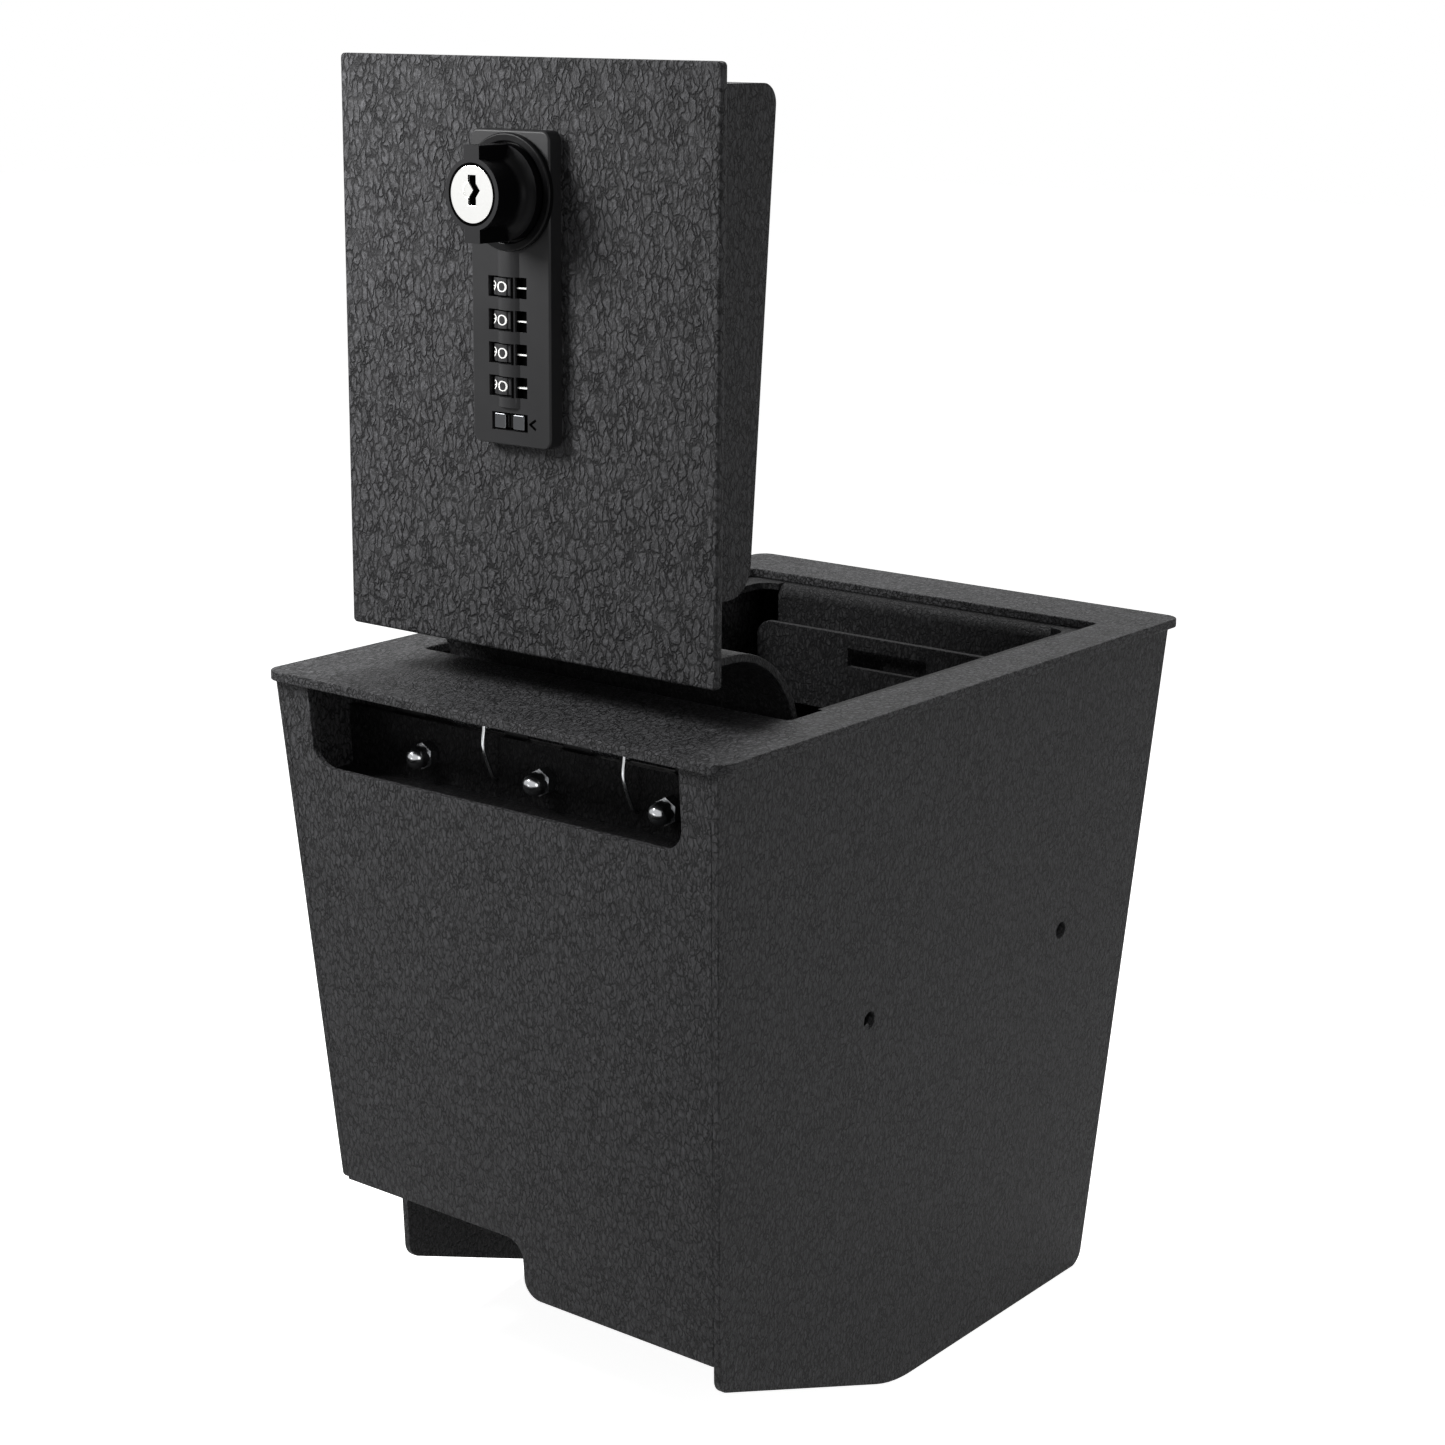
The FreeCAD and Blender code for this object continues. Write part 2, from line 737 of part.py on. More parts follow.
def biarc(a, a_way, b, b_way):
    """Two arcs that leave a and reach b along the given directions."""
    chord = b - a
    both = a_way + b_way
    square = both.dot(both) - 4
    linear = chord.dot(both)
    reach = (linear - math.sqrt(linear ** 2 - square * chord.dot(chord))) / square
    joint = (a + a_way * reach + b - b_way * reach) * 0.5
    return [bend(a, a + a_way * reach, joint), bend(joint, b - b_way * reach, b)]


def bend(a, apex, b):
    """The arc from a to b whose end tangents meet at the apex."""
    middle = (a + b) * 0.5
    lean = (middle - a).Length / (apex - a).Length
    crown = middle + (apex - middle) * (lean / (1 + lean))
    return Part.Arc(a, crown, b).toShape()


def rounded_run(points, radius):
    """Straight runs through the points with an arc at each corner."""
    edges = []
    start = points[0]
    for i in range(1, len(points) - 1):
        back = (points[i - 1] - points[i]).normalize()
        ahead = (points[i + 1] - points[i]).normalize()
        run = radius / math.tan(back.getAngle(ahead) / 2)
        entry = points[i] + back * run
        leave = points[i] + ahead * run
        edges.append(Part.LineSegment(start, entry).toShape())
        edges.append(bend(entry, points[i], leave))
        start = leave
    edges.append(Part.LineSegment(start, points[-1]).toShape())
    return edges


def make_spring(label, left):
    """One unbroken wire about the X axis, with the pin's middle line as its own origin."""
    radius = d.coil_diameter.number / 2
    wire = d.wire_diameter.number
    pitch = d.coil_pitch.number
    turns = turns_wound().number

    def on_coil(angle):
        along = pitch * (angle - START_ANGLE) / 360
        spin = math.radians(angle)
        return Vector(along, radius * math.cos(spin), radius * math.sin(spin))

    def way(angle):
        spin = math.radians(angle)
        return Vector(pitch / (2 * math.pi), -radius * math.sin(spin), radius * math.cos(spin)).normalize()

    last_angle = START_ANGLE + 360 * turns
    quarters = math.ceil(turns * 4)
    angles = [START_ANGLE + (last_angle - START_ANGLE) * i / quarters for i in range(quarters + 1)]
    first, last = on_coil(angles[0]), on_coil(angles[-1])
    foot = NECK_FOOT.number - wire / 2 - d.running_clearance.number
    knee = first - way(angles[0]) * (wire * 2)
    under_foot = [Vector(first.x - wire, d.leg_reach.number, foot), knee, first]
    drop = d.leg_hole_drop.number - d.hinge_drop.number
    panel = d.panel_back.number - d.hinge_back.number
    slant = way(angles[-1]).x
    leave = last + way(angles[-1]) * (wire * 2)
    knee_drop = d.leg_knee_drop.number - d.hinge_drop.number
    bulge = Vector(last.x + knee_drop * slant, panel - d.leg_bulge.number, -knee_drop)
    hook = Vector(last.x + drop * slant, panel - wire, -drop)
    tip = hook + Vector(0, wire + d.sheet.number, 0)
    edges = rounded_run(under_foot, wire)
    for a, b in zip(angles, angles[1:]):
        edges += biarc(on_coil(a), way(a), on_coil(b), way(b))
    edges += rounded_run([last, leave, bulge, hook, tip], wire)
    path = Part.Wire(edges)
    ring = Part.Wire(Part.Circle(under_foot[0], under_foot[1] - under_foot[0], wire / 2).toShape())
    tube = path.makePipeShell([ring], True, False)
    spring = doc.addObject("Part::Feature", label)
    spring.Shape = tube
    move(spring, left, HINGE_Y, HINGE_Z)
    points = [on_coil(START_ANGLE + CHECK_STEP * i) for i in range(int(360 * turns / CHECK_STEP))]
    two_thirds = 240 // CHECK_STEP
    gap = min((p - q).Length for i, p in enumerate(points) for q in points[i + two_thirds:]) - wire
    print(f"{label}: least gap between turns {gap:.2f} mm, volume {tube.Volume:.1f} mm3, "
          f"wire times length {math.pi * wire ** 2 / 4 * path.Length:.1f} mm3")
    keep(spring, label)


# Lid: a flat plate stiffened by a deep frame, carried on the hinge by a bent neck.
def make_lid_plate():
    body = new_body("lid_plate")
    slack = d.running_clearance * 4
    cut_out = centred(d.case_width + slack * 2, d.case_up - slack, d.case_up + d.case_length + slack)
    pad(body, "Z", -d.frame_sheet, 0, centred(LID_WIDTH, 0, LID_LENGTH, d.lid_corner), cut_out)
    on_lid(body)
    keep(body, "lid_plate")


def make_lid_channel():
    """A frame of four walls on the lid's back, deeper at the free end than at the hinge."""
    body = new_body("lid_channel")
    low = LID_LOW + d.channel_up
    high = LID_LOW + LID_LENGTH - d.channel_end_gap
    half = d.channel_width / 2
    outline = [(LID_BACK, low), (LID_BACK + d.channel_shallow, low, d.channel_shallow_corner),
               (LID_BACK + d.channel_deep, high, d.channel_deep_corner), (LID_BACK, high)]
    pad(body, "X", -half, half, outline)
    wall = d.channel_sheet
    inside = centred(d.channel_width - wall * 2, low + wall, high - wall, d.channel_sheet)
    cut(body, "Y", LID_BACK, LID_BACK + d.channel_deep + wall, inside)
    keep(body, "lid_channel")


def make_neck():
    """The bent sheet from the lid's back, over the frame's edge and under it to the moving barrels."""
    body = new_body("gooseneck_bracket")
    foot = HINGE_Z + NECK_FOOT
    foot_top = foot + d.sheet
    crown = LID_LOW + d.neck_root_up
    knee = LID_BACK + d.neck_knee
    lean = tangent(d.neck_lean)
    across = d.sheet / cosine(d.neck_lean)
    heel = knee + (crown - foot_top) * lean
    toe = HINGE_Y + d.neck_foot_reach
    outer_radius = d.neck_radius + d.sheet
    flange = LID_LOW + d.neck_flange_up
    inner = LID_BACK + d.sheet
    outline = [(LID_BACK, crown), (knee, crown, d.neck_radius), (heel, foot_top, d.neck_bend),
               (toe, foot_top), (toe, foot),
               (heel + across + lean * d.sheet, foot, d.neck_bend + d.sheet),
               (knee + across - lean * d.sheet, crown + d.sheet, outer_radius),
               (inner, crown + d.sheet, d.neck_bend), (inner, flange), (LID_BACK, flange)]
    half = d.neck_width / 2
    pad(body, "X", -half, half, outline)
    web = d.neck_foot_reach / 2
    low = HINGE_Z + d.pin_diameter / 2 + d.running_clearance * 4
    finger = [(HINGE_Y - web, low), (HINGE_Y + web, low), (HINGE_Y + web, foot), (toe, foot), (toe, foot_top),
              (HINGE_Y - web, foot_top)]
    for left, right in MOVING_BARRELS:
        pad(body, "X", left, right, finger)
        pad(body, "X", left, right, (HINGE_Y, HINGE_Z, BARREL))
    cut(body, "X", -half, half, (HINGE_Y, HINGE_Z, BORE))
    keep(body, "gooseneck_bracket")


# Lock: a die-cast plate and case through the lid, four dials on a spindle, a code slider and a keyed knob.
def dial_heights():
    return [d.dial_first_up + d.dial_pitch * i for i in range(DIAL_COUNT)]


def screw_places():
    return [(side * sign, up) for up in (d.screw_low_up, d.screw_high_up)
            for side, sign in ((d.screw_side, 1), (d.screw_side, -1))]


def make_lock_housing():
    body = new_body("lock_housing")
    plate = centred(d.plate_width, d.plate_up, d.plate_up + d.plate_length, d.plate_corner)
    pad(body, "Z", 0, d.plate_proud, plate)
    edge_at = d.plate_proud.number
    soften(body, d.plate_edge, lambda middle: abs(middle.z - edge_at) < 0.01)
    pad(body, "Z", -d.case_depth, 0, centred(d.case_width, d.case_up, d.case_up + d.case_length))
    swell = (d.ridge_width * d.ridge_width / 4 + d.ridge_height * d.ridge_height) / (d.ridge_height * 2)
    ridge_depth = d.plate_proud + d.ridge_height - swell
    pad(body, "Y", d.ridge_up, d.knob_up, (d.ridge_side, ridge_depth, swell))
    chamber = centred(d.case_width - d.case_wall * 2, CHAMBER_LOW, CHAMBER_END)
    cut(body, "Z", -d.case_depth, FACE_INSIDE, chamber)
    half = d.dial_window_height / 2
    top = d.plate_proud + d.ridge_height
    relief = d.dial_diameter / 2 + d.dial_relief
    for up in dial_heights():
        cut(body, "Y", up - half, up + half, (d.dial_side, DIAL_DEPTH, relief))
        cut(body, "Z", FACE_INSIDE, top, box(d.dial_window_left, d.dial_window_right, up - half, up + half))
        mark = box(d.mark_left, d.mark_right, up - half, up + half)
        cut(body, "Z", d.plate_proud - d.mark_depth, top, mark)
    half = d.slider_window_height / 2
    cut(body, "Z", FACE_INSIDE, d.plate_proud,
        box(d.slider_window_left, d.slider_window_right, d.slider_up - half, d.slider_up + half))
    cut(body, "Z", d.plate_proud, top, (0, d.knob_up, d.collar_diameter / 2))
    cut(body, "Z", -d.case_depth, d.plate_proud, (0, d.knob_up, SHAFT + d.running_clearance))
    pilot = d.screw_diameter / 2 + d.running_clearance
    pilots = [(x, up, pilot) for x, up in screw_places()]
    cut(body, "Z", -d.case_depth, d.screw_length - d.case_depth, *pilots)
    on_lid(body)
    keep(body, "lock_housing")


def make_lock_cover():
    """The cover behind the case, and the flat-headed screws that hold it."""
    body = new_body("lock_back_cover")
    head = d.screw_head_diameter / 2
    holes = [(x, up, head + d.running_clearance) for x, up in screw_places()]
    spindle = (0, d.knob_up, SHAFT + d.running_clearance * 6)
    pad(body, "Z", COVER_BACK, -d.case_depth,
        centred(d.case_width, d.case_up, d.case_up + d.case_length), spindle, *holes)
    on_lid(body)
    keep(body, "lock_back_cover")
    screws = []
    for x, up in screw_places():
        screw = new_body("lock_screw")
        shank = d.screw_diameter / 2
        tip = d.cover_sheet + d.screw_length
        turn(screw, [(0, 0), (head, 0), (head, d.cover_sheet), (shank, d.cover_sheet), (shank, tip),
                     (0, tip)])
        move(screw, x, LID_FACE - COVER_BACK, LID_LOW + up, QUARTER_TURN)
        screws.append(screw)
    group("lock_screws", screws)


def make_collar():
    body = new_body("lock_collar")
    pad(body, "Z", d.plate_proud, d.plate_proud + d.collar_height,
        (0, 0, d.collar_diameter / 2), (0, 0, d.collar_bore / 2))
    edge_at = (d.plate_proud + d.collar_height).number
    soften(body, d.collar_height / 3, lambda middle: abs(middle.z - edge_at) < 0.01)
    on_lid(body, 0, d.knob_up)
    keep(body, "lock_collar")


def make_dials():
    spindle = doc.addObject("Part::Cylinder", "dial_spindle")
    bind(spindle, "Radius", d.spindle_diameter / 2)
    bind(spindle, "Height", CHAMBER_END - CHAMBER_LOW)
    move(spindle, d.dial_side, LID_FACE - DIAL_DEPTH, LID_LOW + CHAMBER_LOW)
    keep(spindle, "dial_spindle")
    thick = d.dial_thickness / 2
    hub = d.dial_pitch / 2 - d.dial_hub_gap / 2
    rim = d.dial_diameter / 2
    hole = d.spindle_diameter / 2 + d.running_clearance
    for number, up in enumerate(reversed(dial_heights()), start=1):
        label = f"dial_wheel_{number}"
        body = new_body(label)
        pad(body, "Z", -hub, hub, (0, 0, d.dial_hub / 2), (0, 0, hole))
        pad(body, "Z", -thick, thick, (0, 0, rim), (0, 0, hole))
        cut(body, "Z", -thick, thick, (0, rim + d.dial_groove / 4, d.dial_groove / 2))
        groove = body.Tip
        ring = body.newObject("PartDesign::PolarPattern", body.Name + "_grooves")
        ring.Originals = [groove]
        ring.Axis = (plane_axis(body), [""])
        ring.Angle = 360
        ring.Occurrences = DIAL_NUMBERS
        body.Tip = ring
        doc.recompute()
        turned = FreeCAD.Rotation(Vector(0, 0, 1), 180 / DIAL_NUMBERS)
        move(body, d.dial_side, LID_FACE - DIAL_DEPTH, LID_LOW + up, turned)
        keep(body, label)


def plane_axis(body):
    return next(feature for feature in body.Origin.OriginFeatures if feature.Role == "Z_Axis")


def make_slider():
    """The code slider: a runner behind the face with two lugs in its window."""
    body = new_body("code_slider")
    low = d.slider_up - d.slider_window_height / 2 + d.slider_gap * 4
    high = d.slider_up + d.slider_window_height / 2 - d.slider_gap * 4
    left = d.slider_window_left + d.slider_gap * 4
    right = d.slider_window_right - d.slider_travel - d.slider_gap * 4
    runner_top = FACE_INSIDE - d.slider_gap
    pad(body, "Z", runner_top - d.face_wall, runner_top, box(left, right, low, high))
    lug_top = d.plate_proud - d.slider_gap * 4
    for x in (left, right - d.slider_lug):
        pad(body, "Z", runner_top - d.face_wall, lug_top, box(x, x + d.slider_lug, low, high))
    on_lid(body)
    keep(body, "code_slider")


def make_knob():
    """A turned knob with scooped sides, two lugs and a bore for the key plug."""
    body = new_body("knob")
    seat = d.plate_proud + d.knob_gap
    flange = seat + d.knob_base_height
    base = d.knob_base_diameter / 2
    nose = d.knob_nose_diameter / 2
    neck = d.knob_neck_diameter / 2
    nose_low = d.knob_proud - d.knob_nose_height
    turn(body, [(0, seat), (base, seat), (base, flange), (neck, flange, d.knob_scoop), (neck, nose_low),
                (nose, nose_low), (nose, d.knob_proud), (0, d.knob_proud)])
    pad(body, "Z", flange, d.knob_proud, centred(d.lug_width, -base, base, d.running_clearance * 10))
    plug_seat = d.knob_proud - d.plug_depth
    plug_bore = PLUG + d.running_clearance
    bore(body, [(0, plug_seat), (plug_bore, plug_seat), (plug_bore, d.knob_proud), (0, d.knob_proud)])
    bore(body, [(0, seat), (SHAFT, seat), (SHAFT, plug_seat), (0, plug_seat)])
    on_lid(body, 0, d.knob_up)
    keep(body, "knob")


def make_key_plug():
    """The key plug with its crooked keyway and the round end of a tumbler beside it."""
    body = new_body("key_plug")
    seat = d.knob_proud - d.plug_depth
    pad(body, "Z", seat + d.running_clearance, d.knob_proud, (0, 0, PLUG))
    tall = d.keyway_height / 2
    half = d.keyway_width / 2
    jog = d.keyway_jog_height / 2
    rise = d.keyway_rise
    turned = d.keyway_jog
    low, high = rise - tall, rise + tall
    keyway = [(-half, low), (half, low), (half, rise - jog), (half + turned, rise), (half, rise + jog),
              (half, high), (-half, high), (-half, rise + jog), (turned - half, rise), (-half, rise - jog)]
    cut(body, "Z", d.knob_proud - d.tumbler_depth, d.knob_proud,
        (-d.tumbler_side, rise, d.tumbler_diameter / 2))
    cut(body, "Z", d.knob_proud - d.keyway_depth, d.knob_proud, keyway)
    on_lid(body, 0, d.knob_up)
    keep(body, "key_plug")


def make_cam():
    """The shaft behind the knob, and the cam, washer and nut on its end."""
    shaft = new_body("cam_shaft")
    stud = d.stud_diameter / 2
    seat = d.knob_proud - d.plug_depth
    end = WASHER_BACK - d.cam_nut_height
    turn(shaft, [(0, end), (stud, end), (stud, CAM_FACE), (SHAFT, CAM_FACE), (SHAFT, seat), (0, seat)])
    on_lid(shaft, 0, d.knob_up)
    keep(shaft, "cam_shaft")
    hole = (0, 0, stud)
    half = d.cam_width / 2
    tip = half - d.running_clearance * 2
    cam = new_body("latch_cam")
    pad(cam, "Z", CAM_BACK, CAM_FACE, box(-d.cam_tail, d.cam_reach, -half, half, tip), hole)
    on_lid(cam, 0, d.knob_up)
    keep(cam, "latch_cam")
    washer = new_body("cam_washer")
    pad(washer, "Z", WASHER_BACK, CAM_BACK, (0, 0, d.washer_diameter / 2), hole)
    on_lid(washer, 0, d.knob_up)
    keep(washer, "cam_washer")
    nut = new_body("cam_nut")
    pad(nut, "Z", end, WASHER_BACK, hexagon(d.cam_nut_flats), hole)
    on_lid(nut, 0, d.knob_up)
    keep(nut, "cam_nut")


make_top_frame()
make_front_wall()
make_rear_wall()
make_side_walls()
make_floor()
make_lid_rest()
hollow = wedge("cavity", 0, UNDER_FRAME, lambda z: -side_at(z, True), lambda z: side_at(z, True),
               lambda z: front_at(z, True), lambda z: rear_at(z, True))
make_strike(hollow)
make_hinge_panel(hollow)
make_fixed_leaf()
make_hinge_pin()
make_bolts_and_nuts()
make_spring("left_spring", d.coil_left)
make_spring("right_spring", d.coil_right)
make_lid_plate()
make_lid_channel()
make_neck()
make_lock_housing()
make_lock_cover()
make_collar()
make_dials()
make_slider()
make_knob()
make_key_plug()
make_cam()
doc.recompute()

for item in doc.Objects:
    if {"Invalid", "Error"} & set(item.State):
        raise RuntimeError(f"{item.Label} failed: {item.State}")
os.makedirs("parts", exist_ok=True)
for label, item in nodes:
    shape = item.Shape
    if shape.isNull() or not shape.isValid():
        raise RuntimeError(f"{label} has no valid shape")
    shape.exportStep(f"parts/{label}.step")
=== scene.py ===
"""Looks of the console cash safe: coated sheet steel, a sprung hinge and a dial lock, on a pale floor."""

import json
import math

import bmesh
import bpy
from mathutils import Matrix, Vector


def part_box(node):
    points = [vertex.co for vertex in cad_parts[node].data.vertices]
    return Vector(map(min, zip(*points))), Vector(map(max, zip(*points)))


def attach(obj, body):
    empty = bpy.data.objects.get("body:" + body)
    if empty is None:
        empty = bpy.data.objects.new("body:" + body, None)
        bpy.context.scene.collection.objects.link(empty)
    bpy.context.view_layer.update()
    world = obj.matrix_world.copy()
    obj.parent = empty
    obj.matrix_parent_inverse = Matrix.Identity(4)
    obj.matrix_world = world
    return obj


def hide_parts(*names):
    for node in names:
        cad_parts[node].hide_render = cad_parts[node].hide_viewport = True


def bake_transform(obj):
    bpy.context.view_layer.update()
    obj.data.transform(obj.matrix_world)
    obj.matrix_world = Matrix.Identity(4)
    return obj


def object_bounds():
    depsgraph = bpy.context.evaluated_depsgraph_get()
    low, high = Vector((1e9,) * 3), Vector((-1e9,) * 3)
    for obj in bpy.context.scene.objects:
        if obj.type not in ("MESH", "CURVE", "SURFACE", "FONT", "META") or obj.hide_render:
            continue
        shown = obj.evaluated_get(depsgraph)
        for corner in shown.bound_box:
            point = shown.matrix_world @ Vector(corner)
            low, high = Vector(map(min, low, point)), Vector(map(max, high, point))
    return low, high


bl_info = {
    "name": "Console cash safe",
    "version": (1, 0, 0),
    "blender": (4, 5, 0),
    "location": "View3D > Sidebar > Safe",
    "description": "Finishes a console cash safe and sets it on a studio floor",
    "category": "Object",
}

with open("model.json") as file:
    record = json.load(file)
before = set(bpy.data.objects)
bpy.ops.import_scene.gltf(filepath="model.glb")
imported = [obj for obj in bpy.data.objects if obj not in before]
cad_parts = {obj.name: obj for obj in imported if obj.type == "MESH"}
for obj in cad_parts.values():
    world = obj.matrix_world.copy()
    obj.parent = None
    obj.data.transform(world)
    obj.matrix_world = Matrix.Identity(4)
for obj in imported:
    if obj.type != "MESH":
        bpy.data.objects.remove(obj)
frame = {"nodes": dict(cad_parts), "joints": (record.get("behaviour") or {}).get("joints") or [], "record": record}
CAD_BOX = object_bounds()
MM = 0.001
RECORD_SLOT = {row["node"]: row["material_slot"] for row in frame["record"]["subparts"]}
BODY_OF = {node: body for body, members in frame["record"]["behaviour"]["bodies"].items() for node in members}

# Where the lid's front face, the hinge's pin and the knob's axis lie, read from the frame.
LID_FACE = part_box("lid_plate")[0].y
HINGE = next(Vector(j["pos_m"]) for j in frame["joints"] if j["name"] == "lid_hinge")
KNOB = next(Vector(j["pos_m"]) for j in frame["joints"] if j["name"] == "knob_turn")
DIALS = ["dial_wheel_1", "dial_wheel_2", "dial_wheel_3", "dial_wheel_4"]

# The photograph's camera: azimuth from the front towards the right, height angle, roll, place and lens.
CAMERA_AZIMUTH = 37.82
CAMERA_HEIGHT_ANGLE = 14.306
CAMERA_ROLL = -0.58
CAMERA_PLACE = Vector((0.56433, -0.73938, 0.45646))
CAMERA_LENS = 69.1
CAMERA_SENSOR = 36.0


def linear(colour):
    """An sRGB hex colour as linear red, green, blue and alpha."""
    channels = [int(colour[i:i + 2], 16) / 255 for i in (1, 3, 5)]
    return [c / 12.92 if c <= 0.04045 else ((c + 0.055) / 1.055) ** 2.4 for c in channels] + [1.0]


def add(tree, kind, inputs=None, **settings):
    """A node with its settings, its input values and its links."""
    node = tree.nodes.new(kind)
    for name, value in settings.items():
        setattr(node, name, value)
    for name, value in (inputs or {}).items():
        if isinstance(value, bpy.types.NodeSocket):
            tree.links.new(value, node.inputs[name])
        else:
            node.inputs[name].default_value = value
    return node


def start_material(name):
    """An empty material and its node tree."""
    material = bpy.data.materials.new(name)
    material.use_nodes = True
    material.node_tree.nodes.clear()
    return material, material.node_tree


def end_material(material, tree, inputs):
    """Close a material with one shader that takes the given inputs."""
    shader = add(tree, "ShaderNodeBsdfPrincipled", inputs)
    add(tree, "ShaderNodeOutputMaterial", {"Surface": shader.outputs["BSDF"]})
    return material


def background_rays(tree):
    """One for the rays that see the background: the camera's own, mirrored ones and ones through glass."""
    path = add(tree, "ShaderNodeLightPath").outputs
    mirrored = add(tree, "ShaderNodeMath", {0: path["Is Camera Ray"], 1: path["Is Glossy Ray"]},
                   operation="MAXIMUM")
    through = add(tree, "ShaderNodeMath", {0: mirrored.outputs[0], 1: path["Is Transmission Ray"]},
                  operation="MAXIMUM")
    return through.outputs[0]


def wrinkle_coat(name, stretch, coarse=1.0, inside=False):
    """Black wrinkle powder coat on steel: it shrinks as it cures into a leathery skin with fine creases.

    The skin is streaked by grit under 1 mm wide, drawn out along the way the sheet hung in the oven, and
    broken by creases 1.6 mm apart. Its colour is painted darker in the creases as painted shade, and paler on
    the crowns as painted highlight. A thicker coat creases coarser and deeper, over 2 mm apart on the lid.
    Inside the box the coat's colour is painted darker, as painted shade for the box's shaded inside.
    """
    look = bpy.context.scene.safe_finish
    pebble = look.pebble * coarse
    wander_width = pebble * 1.3
    wander_reach = pebble * 1.6
    patch_width = pebble * 3.0
    relief = 0.27 * pebble
    material, tree = start_material(name)
    place = add(tree, "ShaderNodeTexCoord").outputs["Object"]
    # The creases wander, so the pattern's place is pushed about before it is drawn.
    wander = add(tree, "ShaderNodeTexNoise", {"Vector": place, "Scale": 1 / wander_width, "Detail": 2.0})
    offset = add(tree, "ShaderNodeVectorMath", {0: wander.outputs["Color"], 1: (0.5, 0.5, 0.5)},
                 operation="SUBTRACT")
    push = add(tree, "ShaderNodeVectorMath", {0: offset.outputs["Vector"], "Scale": wander_reach},
               operation="SCALE")
    bent = add(tree, "ShaderNodeVectorMath", {0: place, 1: push.outputs["Vector"]}, operation="ADD")
    drawn = add(tree, "ShaderNodeMapping", {"Vector": bent.outputs["Vector"], "Scale": stretch})
    streak = add(tree, "ShaderNodeTexNoise", {"Vector": drawn.outputs["Vector"], "Scale": 1 / look.grit,
                                              "Detail": 3.0, "Roughness": 0.6})
    creases = add(tree, "ShaderNodeTexVoronoi", {"Vector": drawn.outputs["Vector"], "Scale": 1 / pebble},
                  feature="DISTANCE_TO_EDGE")
    # Creases are deep in some patches of the skin and faint in others.
    faint = add(tree, "ShaderNodeTexNoise", {"Vector": place, "Scale": 1 / patch_width, "Detail": 1.0})
    depth = add(tree, "ShaderNodeMapRange", {"Value": faint.outputs["Fac"], "From Min": 0.3,
                                             "From Max": 0.8, "To Max": 0.55})
    fold = add(tree, "ShaderNodeMapRange", {"Value": creases.outputs["Distance"], "From Max": 0.17,
                                            "To Min": depth.outputs["Result"]},
               interpolation_type="SMOOTHSTEP")
    grit = add(tree, "ShaderNodeMapRange", {"Value": streak.outputs["Fac"], "From Min": 0.28,
                                            "From Max": 0.72, "To Min": 0.35})
    height = add(tree, "ShaderNodeMath", {0: grit.outputs["Result"], 1: fold.outputs["Result"]},
                 operation="MULTIPLY")
    bump = add(tree, "ShaderNodeBump", {"Height": height.outputs["Value"], "Strength": 1.0,
                                        "Distance": relief})
    # Painted shade and highlight: the colour runs from the crease shade in the hollows to the crown highlight on
    # the tops; inside the box the middle stop is the darker inside shade and the top stop the plain coat.
    stops = [(0.1, look.crease), (0.52, look.inside if inside else look.coat),
             (0.95, look.coat if inside else look.crown)]
    shade = add(tree, "ShaderNodeValToRGB", {"Fac": height.outputs["Value"]})
    shade.color_ramp.elements.new(0.5)
    for element, (at, colour) in zip(shade.color_ramp.elements, stops):
        element.position = at
        element.color = linear(colour)
    return end_material(material, tree, {"Base Color": shade.outputs["Color"], "Roughness": 0.6,
                                         "Specular IOR Level": 0.12, "Normal": bump.outputs["Normal"]})


def cast_black(name, colour, roughness, grain, shine=0.15):
    """Black paint over die-cast zinc: even and satin, with the faint orange peel of a sprayed coat."""
    peel_width = 0.7 * MM
    cloud_width = 14 * MM
    relief = 0.05 * MM
    material, tree = start_material(name)
    place = add(tree, "ShaderNodeTexCoord").outputs["Object"]
    peel = add(tree, "ShaderNodeTexNoise", {"Vector": place, "Scale": 1 / peel_width, "Detail": 2.0})
    cloud = add(tree, "ShaderNodeTexNoise", {"Vector": place, "Scale": 1 / cloud_width, "Detail": 3.0})
    shade = add(tree, "ShaderNodeMix", {0: cloud.outputs["Fac"], 6: linear(colour[0]), 7: linear(colour[1])},
                data_type="RGBA")
    sheen = add(tree, "ShaderNodeMapRange", {"Value": cloud.outputs["Fac"], "To Min": roughness - 0.05,
                                             "To Max": roughness + 0.05})
    bump = add(tree, "ShaderNodeBump", {"Height": peel.outputs["Fac"], "Strength": grain,
                                        "Distance": relief})
    return end_material(material, tree, {"Base Color": shade.outputs[2], "Roughness": sheen.outputs["Result"],
                                         "Specular IOR Level": shine, "Normal": bump.outputs["Normal"]})


